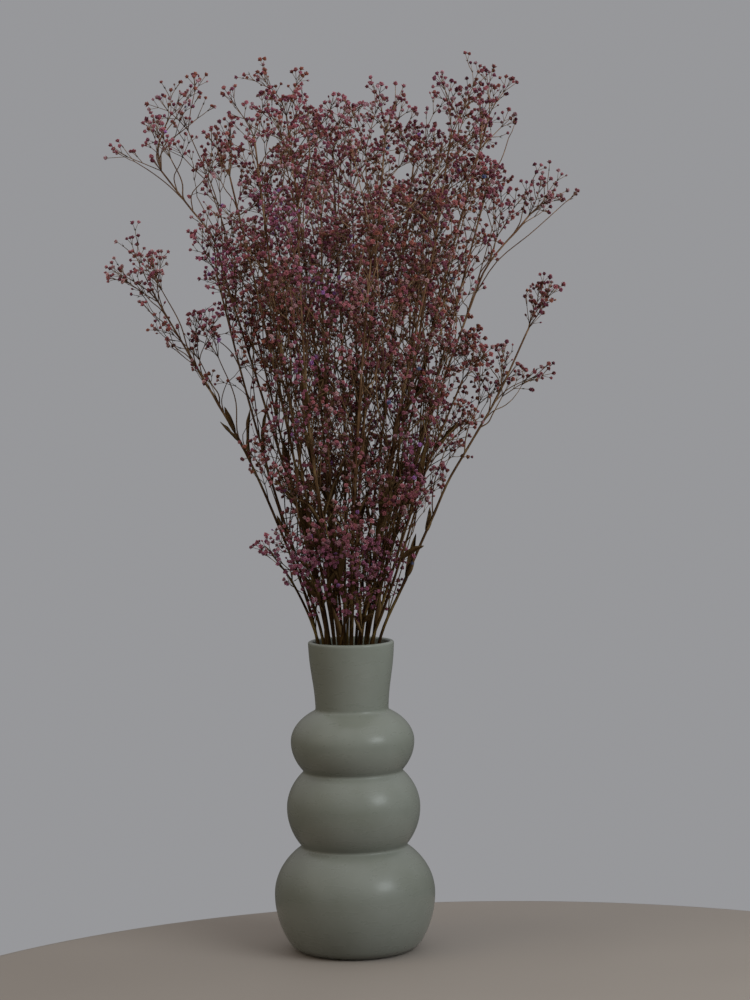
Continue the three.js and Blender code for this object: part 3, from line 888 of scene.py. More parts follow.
def dress_branch(finery, branch):
    path, along, marks = spline(branch.path, BRANCH_SAMPLES)
    finery.tube(path, np.interp(along, [0, marks[-1]], FINE_BRANCH), "branch")
    dress_fork(finery, branch)


for plant in plants:
    plant.finery = Finery()
    dress_stalk(plant)
for plant in plants:
    if not plant.stalk.is_broken:
        dress_fork(plant.finery, plant.stalk)
    for branch in plant.branches:
        dress_branch(plant.finery, branch)
standing = [plant for plant in plants if not plant.stalk.is_broken]


def inner_place():
    """A random place inside the bunch, more often near its outside."""
    z = rng.uniform(*CYME_HEIGHTS)
    middle, half = middle_and_half(FRONT, z)
    out = INNER_BUNCH * rng.random() ** OUTWARD
    turn = rng.uniform(0, 2 * math.pi)
    return point((middle + half * out * math.cos(turn), half * BUNCH_DEPTH * out * math.sin(turn), z))


def choose_cymes():
    """The clumps' places, and others beside the solids' twigs or between them that keep apart."""
    chosen = [point(place) for place in LOW_CLUMPS + SPRAY_CLUMPS]
    high_rods = [rod for rod in twig_rods if rod.a[2] > CYME_HEIGHTS[0]]
    beside = [partway(rod.a, rod.b, share) for rod in high_rods for share in TWIG_SHARES]
    for _ in range(CYMES * CYME_TRIES):
        if len(chosen) == CYMES:
            break
        if rng.random() < BESIDE_SHARE:
            aside = unit(rng.normal(size=3)) * rng.uniform(*BESIDE_TWIG)
            place = beside[rng.integers(len(beside))] + aside
        else:
            place = inner_place()
        is_wanted = rng.random() < np.interp(place[2], *CYME_SHARES) and is_within(place)
        if is_wanted and all(length_of(place - other) > CYME_GAP for other in chosen):
            chosen.append(place)
    return chosen


def find_root(place, nearest):
    """The closest point that a twig to a place can spring from, at least so far away."""
    best = None
    steepness = np.interp(place[2], *STEEPNESS)
    is_inner = is_in_bunch(place)
    for plant in standing:
        rise = place[2] - plant.spine[:, 2]
        away = np.linalg.norm(plant.spine - place, axis=1)
        fits = (rise > steepness * away) & (away > nearest) & (plant.spine[:, 2] > LOWEST_ROOT)
        if is_inner:
            fits &= plant.is_inner
        if fits.any():
            i = int(np.argmin(np.where(fits, away, np.inf)))
            if best is None or away[i] < best[0]:
                best = (away[i], plant, i)
    return best


def add_cyme(place):
    """A cluster on a twig from a stalk, most often from near by."""
    shortest = CYME_ROOT if place[2] > LOW_BLOOM else CYME_ROOT / 2
    is_long = rng.random() < LONG_SHARE and is_in_bunch(place)
    longest = rng.uniform(*LONG_ROOT) if is_long else shortest
    best = find_root(place, longest) or find_root(place, shortest)
    if best is None:
        return
    away, plant, i = best
    finery = plant.finery
    root = plant.spine[i]
    along = unit(plant.spine[min(i + 1, len(plant.spine) - 1)] - plant.spine[i - 1])
    fork = place - point((0, 0, CYME_DEPTH))
    knee = root + unit(along * KNEE_FOLLOW + unit(fork - root)) * (KNEE_SHARE * away)
    middle = partway(knee, fork, TWIG_MIDDLE) + any_side(along) * TWIG_SWAY
    path, _, _ = spline([root, knee, middle, fork], CYME_SAMPLES)
    marks = finery.marks()
    finery.tube(path, np.linspace(*FINE_CYME, CYME_SAMPLES), "shoot")
    way = unit(path[-1] - path[-3])
    side = any_side(way)
    for sign in (-1, 1):
        heading = leaning(way, side * sign, rng.uniform(*CYME_TILT))
        add_sprig(finery, fork, heading, any_side(heading), CYME_SPRIG)
    add_sprig(finery, fork, leaning(way, any_side(way), CYME_MIDDLE_TILT), any_side(way), CYME_MIDDLE)
    finery.prune(marks)


for place in choose_cymes():
    add_cyme(place)

# Dry leaves among the stems. Those that the photograph shows well are rows of x and height of the foot,
# length, width, tilt to the right and curl.
LEAVES_A_STEM = 2
DRY_LENGTH = (18, 42)
DRY_WIDTH = (3, 6.5)
DRY_TILT = (0.1, 0.4)
DRY_CURL = (-0.1, 0.3)
DRY_SHARES = (0, 0.3, 0.65, 1)
DRY_HEIGHTS = (258, 450)
BELOW_TIP = 20
SHOWN_LEAVES = [
    (50, 368, 50, 7.5, 0.12, 0.1), (-34, 332, 30, 6, -0.1, 0.15), (-42, 338, 24, 4.5, -0.35, 0.05),
    (-24, 280, 22, 6, -0.8, -0.5), (30, 316, 24, 5, 0.75, 0.4), (12, 266, 13, 4, 0.4, 0.6),
    (-12, 252, 26, 5, -0.25, 0.02), (-4, 300, 40, 7, 0.1, 0.12), (16, 330, 38, 6, 0.2, 0.15),
    (-18, 318, 34, 7, -0.3, 0.2),
]
SHOWN_FRONT = 0.35
SHOWN_LEAN = -0.25
SHOWN_OUT = (0.6, -0.8)


def add_dry_leaf(plant, foot, heading, out, length, width, curl):
    path = leaf_path(foot, heading, out, length, curl, DRY_SHARES)
    across = levelled(cross(heading, out), heading)
    plant.leaves.append(SimpleNamespace(path=path, across=across, width=width))


def add_loose_leaves(plant):
    """Leaves at random places along a stalk, where they stay in the bunch."""
    low, high = DRY_HEIGHTS
    for _ in range(LEAVES_A_STEM):
        top = min(high, plant.spine[-1][2] - BELOW_TIP)
        i = int(np.searchsorted(plant.spine[:, 2], rng.uniform(low, top)))
        foot = plant.spine[i]
        way = unit(foot - plant.spine[i - 1])
        out = any_side(way)
        heading = leaning(way, out, rng.uniform(*DRY_TILT))
        length, width, curl = rng.uniform(*DRY_LENGTH), rng.uniform(*DRY_WIDTH), rng.uniform(*DRY_CURL)
        if is_within(foot + heading * length + out * (curl * length)):
            add_dry_leaf(plant, foot, heading, out, length, width, curl)


def add_shown_leaf(x, z, length, width, tilt, curl):
    """A leaf of the photograph, on the stalk that passes nearest in front."""
    rows = [
        (plant, plant.spine[int(np.searchsorted(plant.spine[:, 2], z))])
        for plant in standing if plant.spine[-1][2] > z
    ]
    plant, foot = min(rows, key=lambda row: abs(row[1][0] - x) + SHOWN_FRONT * row[1][1])
    heading = unit(point((math.sin(tilt), SHOWN_LEAN, math.cos(tilt))))
    out = levelled(point((math.copysign(SHOWN_OUT[0], tilt), SHOWN_OUT[1], 0)), heading)
    add_dry_leaf(plant, foot, heading, out, length, width, curl)


for plant in standing:
    add_loose_leaves(plant)
for leaf in SHOWN_LEAVES:
    add_shown_leaf(*leaf)


# Meshes
class Surface:
    """Points and faces gathered from many parts, for one mesh. Each point has values for the material."""

    def __init__(self):
        self.points = []
        self.quads = []
        self.triangles = []
        self.values = defaultdict(list)
        self.count = 0

    def add(self, points, quads=(), triangles=(), **values):
        for faces, kept, corners in ((quads, self.quads, 4), (triangles, self.triangles, 3)):
            if len(faces):
                kept.append(np.asarray(faces).reshape(-1, corners) + self.count)
        self.points.append(points.reshape(-1, 3))
        for name, value in values.items():
            self.values[name].append(value)
        self.count += self.points[-1].shape[0]

    def piece(self, name, material, is_smooth):
        mesh = bpy.data.meshes.new(name)
        points = np.concatenate(self.points) * MM
        faces = [np.concatenate(part) for part in (self.quads, self.triangles) if part]
        sizes = np.concatenate([np.full(len(part), part.shape[1]) for part in faces])
        loops = np.concatenate([part.ravel() for part in faces])
        mesh.vertices.add(len(points))
        mesh.vertices.foreach_set("co", points.ravel())
        mesh.loops.add(len(loops))
        mesh.loops.foreach_set("vertex_index", loops.astype(np.int32))
        mesh.polygons.add(len(sizes))
        mesh.polygons.foreach_set("loop_start", (np.cumsum(sizes) - sizes).astype(np.int32))
        mesh.polygons.foreach_set("use_smooth", np.full(len(sizes), is_smooth))
        for key, parts in self.values.items():
            values = np.concatenate(parts).astype(np.float32)
            kind, field = ("FLOAT_COLOR", "color") if values.ndim > 1 else ("FLOAT", "value")
            mesh.attributes.new(key, kind, "POINT").data.foreach_set(field, values.ravel())
        mesh.update(calc_edges=True)
        mesh.materials.append(material)
        thing = bpy.data.objects.new(name, mesh)
        bpy.context.scene.collection.objects.link(thing)
        return thing


def grid_quads(rows, sides):
    """The faces between rows of points that each go round once."""
    row, k = np.meshgrid(np.arange(rows - 1), np.arange(sides), indexing="ij")
    here = row * sides + k
    beside = row * sides + (k + 1) % sides
    return np.stack((here, beside, beside + sides, here + sides), -1).reshape(-1, 4)


def end_fans(rows, sides):
    """The faces that close the first and the last row."""
    fan = np.array([(0, k + 1, k) for k in range(1, sides - 1)])
    return np.concatenate((fan, fan[:, ::-1] + (rows - 1) * sides))


def end_cones(rows, sides, low, high):
    """The faces from the first row to a point before it, and from the last row to a point past it."""
    k = np.arange(sides)
    beside = (k + 1) % sides
    last = (rows - 1) * sides
    foot = np.stack((np.full(sides, low), beside, k), -1)
    crown = np.stack((np.full(sides, high), last + k, last + beside), -1)
    return np.concatenate((foot, crown))


def many(faces, count, step):
    """The same faces for each of many equal parts."""
    return (faces[None] + (np.arange(count) * step)[:, None, None]).reshape(-1, faces.shape[1])


def add_tubes(surface, paths, radii, sides):
    """Closed round tubes along paths of one number of points."""
    count, rows, _ = paths.shape
    ways = units(np.gradient(paths, axis=1))
    axis = np.eye(3)[np.abs(paths[:, -1] - paths[:, 0]).argmin(1)][:, None]
    across = units(axis - ways * (ways * axis).sum(2, keepdims=True))
    other = np.cross(ways, across)
    turns = (np.arange(sides) * 2 * np.pi / sides)[:, None]
    around = across[:, :, None] * np.cos(turns) + other[:, :, None] * np.sin(turns)
    points = paths[:, :, None] + radii[:, :, None, None] * around
    size = rows * sides
    quads = many(grid_quads(rows, sides), count, size)
    surface.add(points, quads, many(end_fans(rows, sides), count, size), tone=np.zeros(count * size))


def add_all_tubes(surface, tubes):
    groups = defaultdict(list)
    for path, radii, sides in tubes:
        groups[len(path), sides].append((path, radii))
    for (_, sides), members in sorted(groups.items(), key=lambda item: item[0]):
        paths, radii = zip(*members)
        add_tubes(surface, np.array(paths), np.array(radii), sides)


# Flower heads. Each ring is a height, a radius, a wave of its petals and a layer: 0 is calyx, 1 petal edge.
# The material paints shade on the layers between.
FULL_HEAD = [
    (0.9, 1.05, 0, 0), (1.8, 1.5, 0, 0.1), (2.2, 2.4, 0.35, 1), (2.35, 1.5, 0, 0.35), (3.3, 1.95, 0.3, 1),
    (3.05, 1.0, 0, 0.3), (4.1, 1.1, 0.25, 1),
]
LIGHT_HEAD = [(1.0, 1.2, 0, 0), (2.3, 2.35, 0.35, 1), (2.45, 1.3, 0, 0.35), (3.6, 1.5, 0.35, 1)]
BUD = [(0.8, 0.8, 0, 0), (2.0, 1.15, 0, 0.5), (3.0, 0.75, 0, 0.9)]
# Each kind's rings, sides, unevenness and number of variants
HEAD_KINDS = [(FULL_HEAD, 8, 0.16, 10), (LIGHT_HEAD, 6, 0.2, 10), (BUD, 5, 0.06, 3)]
PICKS = 10
LEAST_REACH = 0.3
# An open head's sunk centre takes the layer that the material darkens most, as painted shade
OPEN_CROWN = (-0.5, 0.2)
BUD_CROWN = (0.6, 1)
# Heads this far towards the front are the full ones
FRONT_WAY = (0.35, -1, 0)
FRONT_MIDDLE = (10, 0, 0)
FULL_FROM = 52


def make_head(rings, sides, ruffle):
    """A dry flower as one closed surface: its petals are rims with hollows between them."""
    rows = []
    layers = [0.0]
    for height, radius, wave, layer in rings:
        turns = np.arange(sides) * 2 * np.pi / sides + rng.uniform(0, 2 * np.pi / sides)
        waves = wave * np.where(np.arange(sides) % 2, 1, -1) + rng.normal(size=sides) * ruffle * radius / 2
        heights = height + rng.normal(size=sides) * ruffle
        reach = np.maximum(LEAST_REACH, radius + waves)
        rows.append(np.stack((reach * np.cos(turns), reach * np.sin(turns), heights), -1))
        layers += [layer] * sides
    top, _, wave, _ = rings[-1]
    rise, layer = OPEN_CROWN if wave else BUD_CROWN
    points = np.concatenate([np.zeros((1, 3)), *rows, [[0, 0, top + rise]]])
    return SimpleNamespace(
        points=points,
        quads=grid_quads(len(rings), sides) + 1,
        triangles=end_cones(len(rings), sides, -1, len(points) - 2) + 1,
        layers=np.array([*layers, layer]),
    )


head_shapes = [
    [make_head(rings, sides, ruffle) for _ in range(count)] for rings, sides, ruffle, count in HEAD_KINDS
]

# Dye. Waves along x, y and z make its broad areas, from umber over mauve to rose. Patches are x and height.
ROSE = (0.405, 0.163, 0.178)
MAUVE = (0.325, 0.11, 0.122)
UMBER = (0.3, 0.115, 0.076)
PALE = (0.43, 0.262, 0.262)
PLUM = (0.21, 0.07, 0.096)
ORCHID = (0.4, 0.145, 0.262)
VIOLET = (0.3, 0.14, 0.36)
SLATE = (0.13, 0.17, 0.3)
DYE_WAVES = [((1 / 31, 0, 0), 1.3), ((1 / 55, 0, 1 / 37), 0), ((0, 1 / 29, 1 / 47), 2)]
DYE_DEPTH = 0.2
DYE_STRAY = 0.22
PALE_SHARE = 0.2
PLUM_SHARE = 0.22
PATCHES = (
    (-63, 599), (-46, 583), (-19, 539), (-40, 419), (27, 433), (-102, 550), (-104, 520), (-30, 470),
    (52, 400),
)
PATCH_RADIUS = 15
LOW_ORCHID = 0.8
LOW_FADE = 30
ORCHID_DEPTH = (0.3, 1)
VIOLET_SHARE = 0.004
PATCH_VIOLET = 0.2
PATCH_CORE = 0.4
SLATE_SHARE = 0.003
# By height: how far painted shade darkens the heads, most low down in the dense bunch, where they are also
# partly of a darker colour, and a little at the top; and how blue the dye is
PAINTED_HEIGHT_SHADE = ((290, 350, 520, 640, 700), (0.62, 0.7, 1.0, 0.93, 0.9))
HEIGHT_BLUE = ((540, 680), (1, 1.14))
# Painted shade across the bunch: heads lighter to the left and darker to the right, falling to black this
# far right, in mm
PAINTED_SIDE_SHADE = 800
TINT_SPREAD = (0.8, 1.2)


def tints(places):
    """Each head's dye: broad areas and violet patches, with pale, dark and blue heads among the others, and
    painted shade by height and towards the right.
    """
    count = len(places)
    heights = places[:, 2]
    waves = sum(np.sin(places @ np.array(wave) + start) for wave, start in DYE_WAVES)
    share = np.clip(0.5 + waves * DYE_DEPTH + rng.normal(size=count) * DYE_STRAY, 0, 1)
    tint = np.stack([np.interp(share, (0, 0.5, 1), levels) for levels in zip(UMBER, MAUVE, ROSE)], -1)
    draw = rng.random(count)
    tint[draw < PALE_SHARE] = PALE
    tint[draw > 1 - PLUM_SHARE] = PLUM
    away = ((places[:, None, (0, 2)] - np.array(PATCHES, float)) ** 2).sum(2).min(1)
    spot = np.exp(-away / (2 * PATCH_RADIUS**2))
    low = np.clip((LOW_BLOOM - heights) / LOW_FADE, 0, 1) * LOW_ORCHID
    orchid = np.maximum(spot, low) * rng.uniform(*ORCHID_DEPTH, count)
    tint += (np.array(ORCHID) - tint) * orchid[:, None]
    stray = rng.random(count)
    tint[stray < VIOLET_SHARE + PATCH_VIOLET * np.maximum(spot - PATCH_CORE, 0)] = VIOLET
    tint[stray > 1 - SLATE_SHARE] = SLATE
    # Painted shade: heads darker low down, a little darker at the top, and darker towards the right
    tint *= (np.interp(heights, *PAINTED_HEIGHT_SHADE) * (1 - places[:, 0] / PAINTED_SIDE_SHADE))[:, None]
    tint[:, 2] *= np.interp(heights, *HEIGHT_BLUE)
    return tint * rng.uniform(*TINT_SPREAD, size=(count, 1))


def add_heads(surface, heads):
    places, ways, sizes, are_buds = (np.array(part) for part in zip(*heads))
    # Dye with painted shade by height and side
    dyes_with_painted_shade = tints(places)
    front = ((places - np.array(FRONT_MIDDLE, float)) * FRONT_WAY).sum(1)
    wanted = np.where(are_buds, 2, np.where(front > FULL_FROM, 0, 1))
    pick = rng.integers(0, PICKS, len(heads))
    for kind, shapes in enumerate(head_shapes):
        for number, shape in enumerate(shapes):
            chosen = np.flatnonzero((wanted == kind) & (pick % len(shapes) == number))
            if not len(chosen):
                continue
            way = ways[chosen]
            across = units(np.cross(way, np.eye(3)[np.abs(way).argmin(1)]))
            other = np.cross(way, across)
            roll = rng.uniform(0, 2 * np.pi, len(chosen))[:, None]
            first = across * np.cos(roll) + other * np.sin(roll)
            second = np.cross(way, first)
            frames = np.stack((first, second, way), 1) * sizes[chosen][:, None, None]
            points = places[chosen][:, None] + shape.points @ frames
            size = len(shape.points)
            colours = np.ones((len(chosen), size, 4))
            colours[:, :, :3] = dyes_with_painted_shade[chosen][:, None]
            surface.add(
                points, many(shape.quads, len(chosen), size), many(shape.triangles, len(chosen), size),
                tint=colours.reshape(-1, 4), layer=np.tile(shape.layers, len(chosen)),
            )


# Leaves. Their section goes round once: how far aside, how far out as a share of the fold, and a tone.
LEAF_SAMPLES = 14
LEAF_FOLD = 1.7
BLADE = 0.4
LEAF_SECTION = [
    (-1, 0.35, 1), (-0.55, -0.75, 0.6), (0, -1, 0.4), (0.55, -0.75, 0.6), (1, 0.35, 1),
    (0.55, -0.75 + BLADE, 0.5), (0, -1 + BLADE, 0.3), (-0.55, -0.75 + BLADE, 0.5),
]
LEAF_TWIST = (-1.4, 1.4)
TWIST_EASE = 1.3
LEAF_NECK = 0.35
LEAF_POINT = 0.15
WIDEST_EARLY = 0.8
ROUNDNESS = 0.9
RIPPLE = 0.25
RIPPLE_TURNS = 17
RIPPLE_START = (0, 6)

# Scales at the forks
BRACT_LENGTH = (1.8, 3.4)
BRACT_SINK = 0.4
BRACT_FOOT = 0.25
BRACT_HALF = 0.4
BRACT_THICK = 0.35
BRACT_SPREAD = 0.45
BRACT_TONE = 0.25
BRACT_FACES = [(0, 2, 1), (0, 1, 3), (1, 2, 3), (2, 0, 3)]


def add_leaf(surface, leaf):
    """A thin folded leaf with a keel and lifted edges."""
    path, along, marks = spline(leaf.path, LEAF_SAMPLES)
    share = along / marks[-1]
    ways = units(np.gradient(path, axis=0))
    twist = rng.uniform(*LEAF_TWIST) * share**TWIST_EASE
    across = np.array([turned(way, levelled(leaf.across, way), turn) for way, turn in zip(ways, twist)])
    outward = np.cross(ways, across)
    half = LEAF_NECK + (leaf.width / 2 - LEAF_NECK) * np.sin(np.pi * share**WIDEST_EARLY) ** ROUNDNESS
    half[-1] = LEAF_POINT
    ripple = RIPPLE * np.sin(share * RIPPLE_TURNS + rng.uniform(*RIPPLE_START))
    fold = LEAF_FOLD * np.minimum(1, half / 2)
    columns = []
    for spread, lift, _ in LEAF_SECTION:
        rise = lift * fold + (ripple if abs(spread) == 1 else 0)
        columns.append(path + across * (spread * half)[:, None] + outward * rise[:, None])
    sides = len(LEAF_SECTION)
    surface.add(
        np.stack(columns, 1), grid_quads(LEAF_SAMPLES, sides), end_fans(LEAF_SAMPLES, sides),
        tone=np.tile([tone for _, _, tone in LEAF_SECTION], LEAF_SAMPLES),
    )


def add_bracts(surface, bracts):
    """Pairs of small pointed scales at the forks."""
    for place, way, side in bracts:
        for sign in (-1, 1):
            out = levelled(side, way) * sign
            edge = cross(way, out)
            length = rng.uniform(*BRACT_LENGTH)
            foot = place - way * BRACT_SINK + out * BRACT_FOOT
            tip = foot + way * length + out * (BRACT_SPREAD * length)
            base = [foot - edge * BRACT_HALF, foot + edge * BRACT_HALF, foot + out * BRACT_THICK]
            surface.add(np.array([*base, tip]), (), BRACT_FACES, tone=np.full(4, BRACT_TONE))


def revolved(profile, middle, ends, sides):
    """A closed surface round an upright line, from a profile of radii and heights. The ends are the heights
    of its two middle points."""
    turns = np.arange(sides) * 2 * np.pi / sides
    radii, heights = profile[:, :1], profile[:, 1:]
    rows = np.stack((
        middle[0] + radii * np.cos(turns), middle[1] + radii * np.sin(turns), np.repeat(heights, sides, 1),
    ), -1)
    count = len(profile)
    points = np.concatenate((rows.reshape(-1, 3), [(*middle, end) for end in ends]))
    surface = Surface()
    closing = end_cones(count, sides, count * sides, count * sides + 1)
    surface.add(points, grid_quads(count, sides), closing)
    return surface


# Vase
OUTER_STEP = 1.5
INNER_STEP = 4
VASE_SIDES = 96
WALL_SAMPLES = 900
LIP_STEPS = 8
NECK_FOOT = 194
FOOT_ROUND = (6, 4.5)
FLARE = 0.45
FOOT_RECESS = 1.2
# The foot's ring from inside: how far in from its radius, and height
FOOT_RING = [(8, FOOT_RECESS), (5, 0.4), (4, 0), (2, 0)]


def bulb_radius(bulb, height, inset):
    half = (bulb["rise"] if height > bulb["centre"] else bulb["drop"]) - inset
    share = (height - bulb["centre"]) / half
    return (bulb["radius"] - inset) * math.sqrt(max(0, 1 - share * share))


def wall_radius(height, inset):
    """The radius of one side of the wall: the widest bulb's or, above the neck's foot, the wider neck's."""
    bulbs = max(bulb_radius(bulb, height, inset) for bulb in BULBS)
    if not inset and height < FOOT_ROUND[0]:
        bulbs -= FOOT_ROUND[1] * (1 - height / FOOT_ROUND[0]) ** 2
    share = (height - NECK_FOOT) / (VASE_HEIGHT - LIP - NECK_FOOT)
    if share < 0:
        return bulbs
    neck = NECK_RADIUS + (RIM_RADIUS - NECK_RADIUS) * share - FLARE * math.sin(2 * math.pi * share)
    return max(bulbs, neck - inset)


def wall_side(inset, bottom, step):
    """One side of the wall with its points at even distances and its creases a little rounded."""
    heights = np.linspace(bottom, VASE_HEIGHT - LIP, WALL_SAMPLES)
    line = np.array([(wall_radius(height, inset), height) for height in heights])
    _, marks = stretches(line)
    along = np.linspace(0, marks[-1], round(marks[-1] / step) + 1)
    side = np.stack([np.interp(along, marks, line[:, k]) for k in (0, 1)], -1)
    side[1:-1] = (side[:-2] + 2 * side[1:-1] + side[2:]) / 4
    return side


def vase_profile():
    outside = wall_side(0, FOOT_BEVEL / 3, OUTER_STEP)
    inside = wall_side(WALL, FLOOR, INNER_STEP)[::-1]
    turns = np.linspace(0, math.pi, LIP_STEPS + 1)[1:-1]
    middle = (outside[-1, 0] + inside[0, 0]) / 2
    half = (outside[-1, 0] - inside[0, 0]) / 2
    lip = [(middle + half * math.cos(turn), VASE_HEIGHT - LIP + LIP * math.sin(turn)) for turn in turns]
    under = [(FOOT_RADIUS - inwards, height) for inwards, height in FOOT_RING]
    return np.concatenate((under, outside, lip, inside))


# Materials
class Look:
    """The nodes of a material or of the world. An input takes a value, or the socket that feeds it."""

    def __init__(self, owner):
        owner.use_nodes = True
        self.nodes = owner.node_tree.nodes
        self.links = owner.node_tree.links
        self.space = self.nodes.new("ShaderNodeTexCoord")

    def feed(self, node, inputs):
        for key, value in inputs.items():
            if isinstance(value, bpy.types.NodeSocket):
                self.links.new(value, node.inputs[key])
            else:
                node.inputs[key].default_value = value

    def add(self, kind, output, inputs=None, **settings):
        """A new node's output."""
        node = self.nodes.new(kind)
        for name, setting in settings.items():
            setattr(node, name, setting)
        self.feed(node, inputs or {})
        return node.outputs[output]

    def attribute(self, name, output):
        return self.add("ShaderNodeAttribute", output, attribute_name=name)

    def noise(self, scale, detail, stretch=(1, 1, 1)):
        """Noise in the piece's own metres, scaled along each axis."""
        place = self.space.outputs["Object"]
        vector = self.add("ShaderNodeMapping", "Vector", {"Vector": place, "Scale": stretch})
        return self.add("ShaderNodeTexNoise", "Fac", {"Vector": vector, "Scale": scale, "Detail": detail})

    def ramp(self, factor, stops):
        """A colour ramp from (place, colour) stops."""
        node = self.nodes.new("ShaderNodeValToRGB")
        elements = node.color_ramp.elements
        for k in (0, -1):
            elements[k].position = stops[k][0]
            elements[k].color = (*stops[k][1], 1)
        for place, colour in stops[1:-1]:
            elements.new(place).color = (*colour, 1)
        self.feed(node, {"Fac": factor})
        return node.outputs["Color"]

    def spread(self, value, low, high):
        """A value from 0 to 1 spread over another range."""
        return self.add("ShaderNodeMapRange", "Result", {"Value": value, "To Min": low, "To Max": high})

    def height(self, low, high):
        """From 0 at a low height to 1 at a high one, in mm."""
        place = self.space.outputs["Object"]
        z = self.add("ShaderNodeSeparateXYZ", "Z", {"Vector": place})
        inputs = {"Value": z, "From Min": low * MM, "From Max": high * MM}
        return self.add("ShaderNodeMapRange", "Result", inputs)

    def mixed(self, factor, first, second, blend="MIX"):
        inputs = {0: factor, 6: first, 7: second}
        return self.add("ShaderNodeMix", 2, inputs, data_type="RGBA", blend_type=blend)

    def times(self, first, second):
        return self.mixed(1.0, first, second, "MULTIPLY")

    def bumps(self, height, strength, distance):
        inputs = {"Height": height, "Strength": strength, "Distance": distance}
        return self.add("ShaderNodeBump", "Normal", inputs)


DULL = 0.1
# Heights in mm over which the stems go from the dark olive, partly painted shade, to red-brown
BROWN_HEIGHTS = (260, 600)
BLADE_TONE = 0.1


def glaze_look(look):
    """Satin sage glaze with soft mottling and tiny pits, with painted shade towards the foot and painted
    light towards the rim.
    """
    mottled = look.ramp(look.noise(22, 4), [
        (0.3, (0.146, 0.152, 0.124)), (0.5, (0.163, 0.169, 0.143)), (0.72, (0.18, 0.186, 0.16)),
    ])
    pits = look.ramp(look.noise(900, 2), [(0.28, (0.96, 0.96, 0.955)), (0.38, (1, 1, 1))])
    # Painted shade that darkens the glaze towards the foot, and painted light that brightens it towards the
    # rim
    painted_glaze_shade = look.mixed(look.height(0, VASE_HEIGHT), (0.9, 0.9, 0.91, 1), (1.1, 1.1, 1.09, 1))
    return {
        "Base Color": look.times(look.times(mottled, painted_glaze_shade), pits),
        "Roughness": look.spread(look.noise(60, 3, (1, 1, 3)), 0.24, 0.32),
        "Normal": look.bumps(look.noise(90, 2, (1, 1, 2)), 0.04, 0.0006),
    }


def bloom_look(look):
    """Dried petals: painted shade in their hollows and sunk centres, pale and pink along their edges,
    partly their own colour and partly painted highlight, brown-green at the calyx.
    """
    # Painted shade and light by layer: the calyx keeps its brown-green, the hollows and the sunk centre are
    # darkened as painted shade, and the petal edges are paled, partly their own colour and partly painted
    # highlight
    depth = look.ramp(look.attribute("layer", "Fac"), [
        (0.0, (0.6, 0.6, 0.42)), (0.2, (0.42, 0.31, 0.28)),
        (0.5, (0.64, 0.55, 0.54)), (1.0, (1.12, 1.09, 1.12)),
    ])
    dyed_with_painted_shade = look.times(look.attribute("tint", "Color"), depth)
    crinkle = look.noise(1500, 3)
    veins = look.ramp(crinkle, [(0.3, (0.66, 0.62, 0.6)), (0.65, (1.16, 1.12, 1.12))])
    return {
        "Base Color": look.times(dyed_with_painted_shade, veins),
        "Roughness": look.spread(crinkle, 0.78, 0.95),
        "Specular IOR Level": DULL,
        "Normal": look.bumps(crinkle, 0.5, 0.0004),
    }


def twig_look(look):
    """Dry stems, olive and very dark low down, partly their own colour and partly painted shade, red-brown
    higher up, with leaves a little paler at their edges.
    """
    patches = look.noise(45, 3)
    # The low stems' dark olive: partly their own colour, partly painted shade
    olive = look.ramp(patches, [
        (0.38, (0.024, 0.01, 0.003)), (0.52, (0.05, 0.026, 0.007)), (0.68, (0.125, 0.08, 0.024)),
    ])
    brown = look.ramp(patches, [
        (0.3, (0.084, 0.036, 0.017)), (0.5, (0.16, 0.083, 0.045)), (0.7, (0.29, 0.178, 0.105)),
    ])
    tone = look.attribute("tone", "Fac")
    blade = look.ramp(tone, [
        (0.1, (0.03, 0.015, 0.006)), (0.6, (0.062, 0.033, 0.012)), (1.0, (0.13, 0.08, 0.035)),
    ])
    is_blade = look.add("ShaderNodeMath", 0, {0: tone, 1: BLADE_TONE}, operation="GREATER_THAN")
    both = look.mixed(is_blade, look.mixed(look.height(*BROWN_HEIGHTS), olive, brown), blade)
    grain = look.noise(700, 3, (1, 1, 0.15))
    shade = look.ramp(grain, [(0.3, (0.7, 0.7, 0.7)), (0.7, (1.2, 1.2, 1.2))])
    return {
        "Base Color": look.times(both, shade),
        "Roughness": look.spread(grain, 0.6, 0.85),
        "Specular IOR Level": DULL,
        "Normal": look.bumps(grain, 0.35, 0.0003),
    }


def table_look(look):
    """A plain top with faint broad patches."""
    patches = look.noise(3, 2)
    return {
        "Base Color": look.ramp(patches, [(0.3, (0.228, 0.194, 0.168)), (0.7, (0.256, 0.22, 0.192))]),
        "Roughness": look.spread(patches, 0.7, 0.8),
    }


def new_material(name, choose_inputs):
    material = bpy.data.materials.new(name)
    look = Look(material)
    look.feed(look.nodes["Principled BSDF"], choose_inputs(look))
    return material


# Pieces
glaze = new_material("sage glaze", glaze_look)
bloom = new_material("dried bloom", bloom_look)
twig = new_material("dried stem", twig_look)

vase = revolved(vase_profile(), (0, 0), (FOOT_RECESS, FLOOR), VASE_SIDES).piece("vase_body", glaze, True)
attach(vase, "root")
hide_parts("vase")

for plant in plants:
    node = f"stem_{plant.index + 1:02d}"
    twigs = Surface()
    add_all_tubes(twigs, plant.finery.tubes)
    for leaf in plant.leaves:
        add_leaf(twigs, leaf)
    add_bracts(twigs, plant.finery.bracts)
    wood = twigs.piece(f"{node}_twigs", twig, True)
    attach(wood, "root")
    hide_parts(node)
    blooms = Surface()
    add_heads(blooms, plant.finery.heads)
    flowers = blooms.piece(f"{node}_blooms", bloom, False)
    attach(flowers, "root")

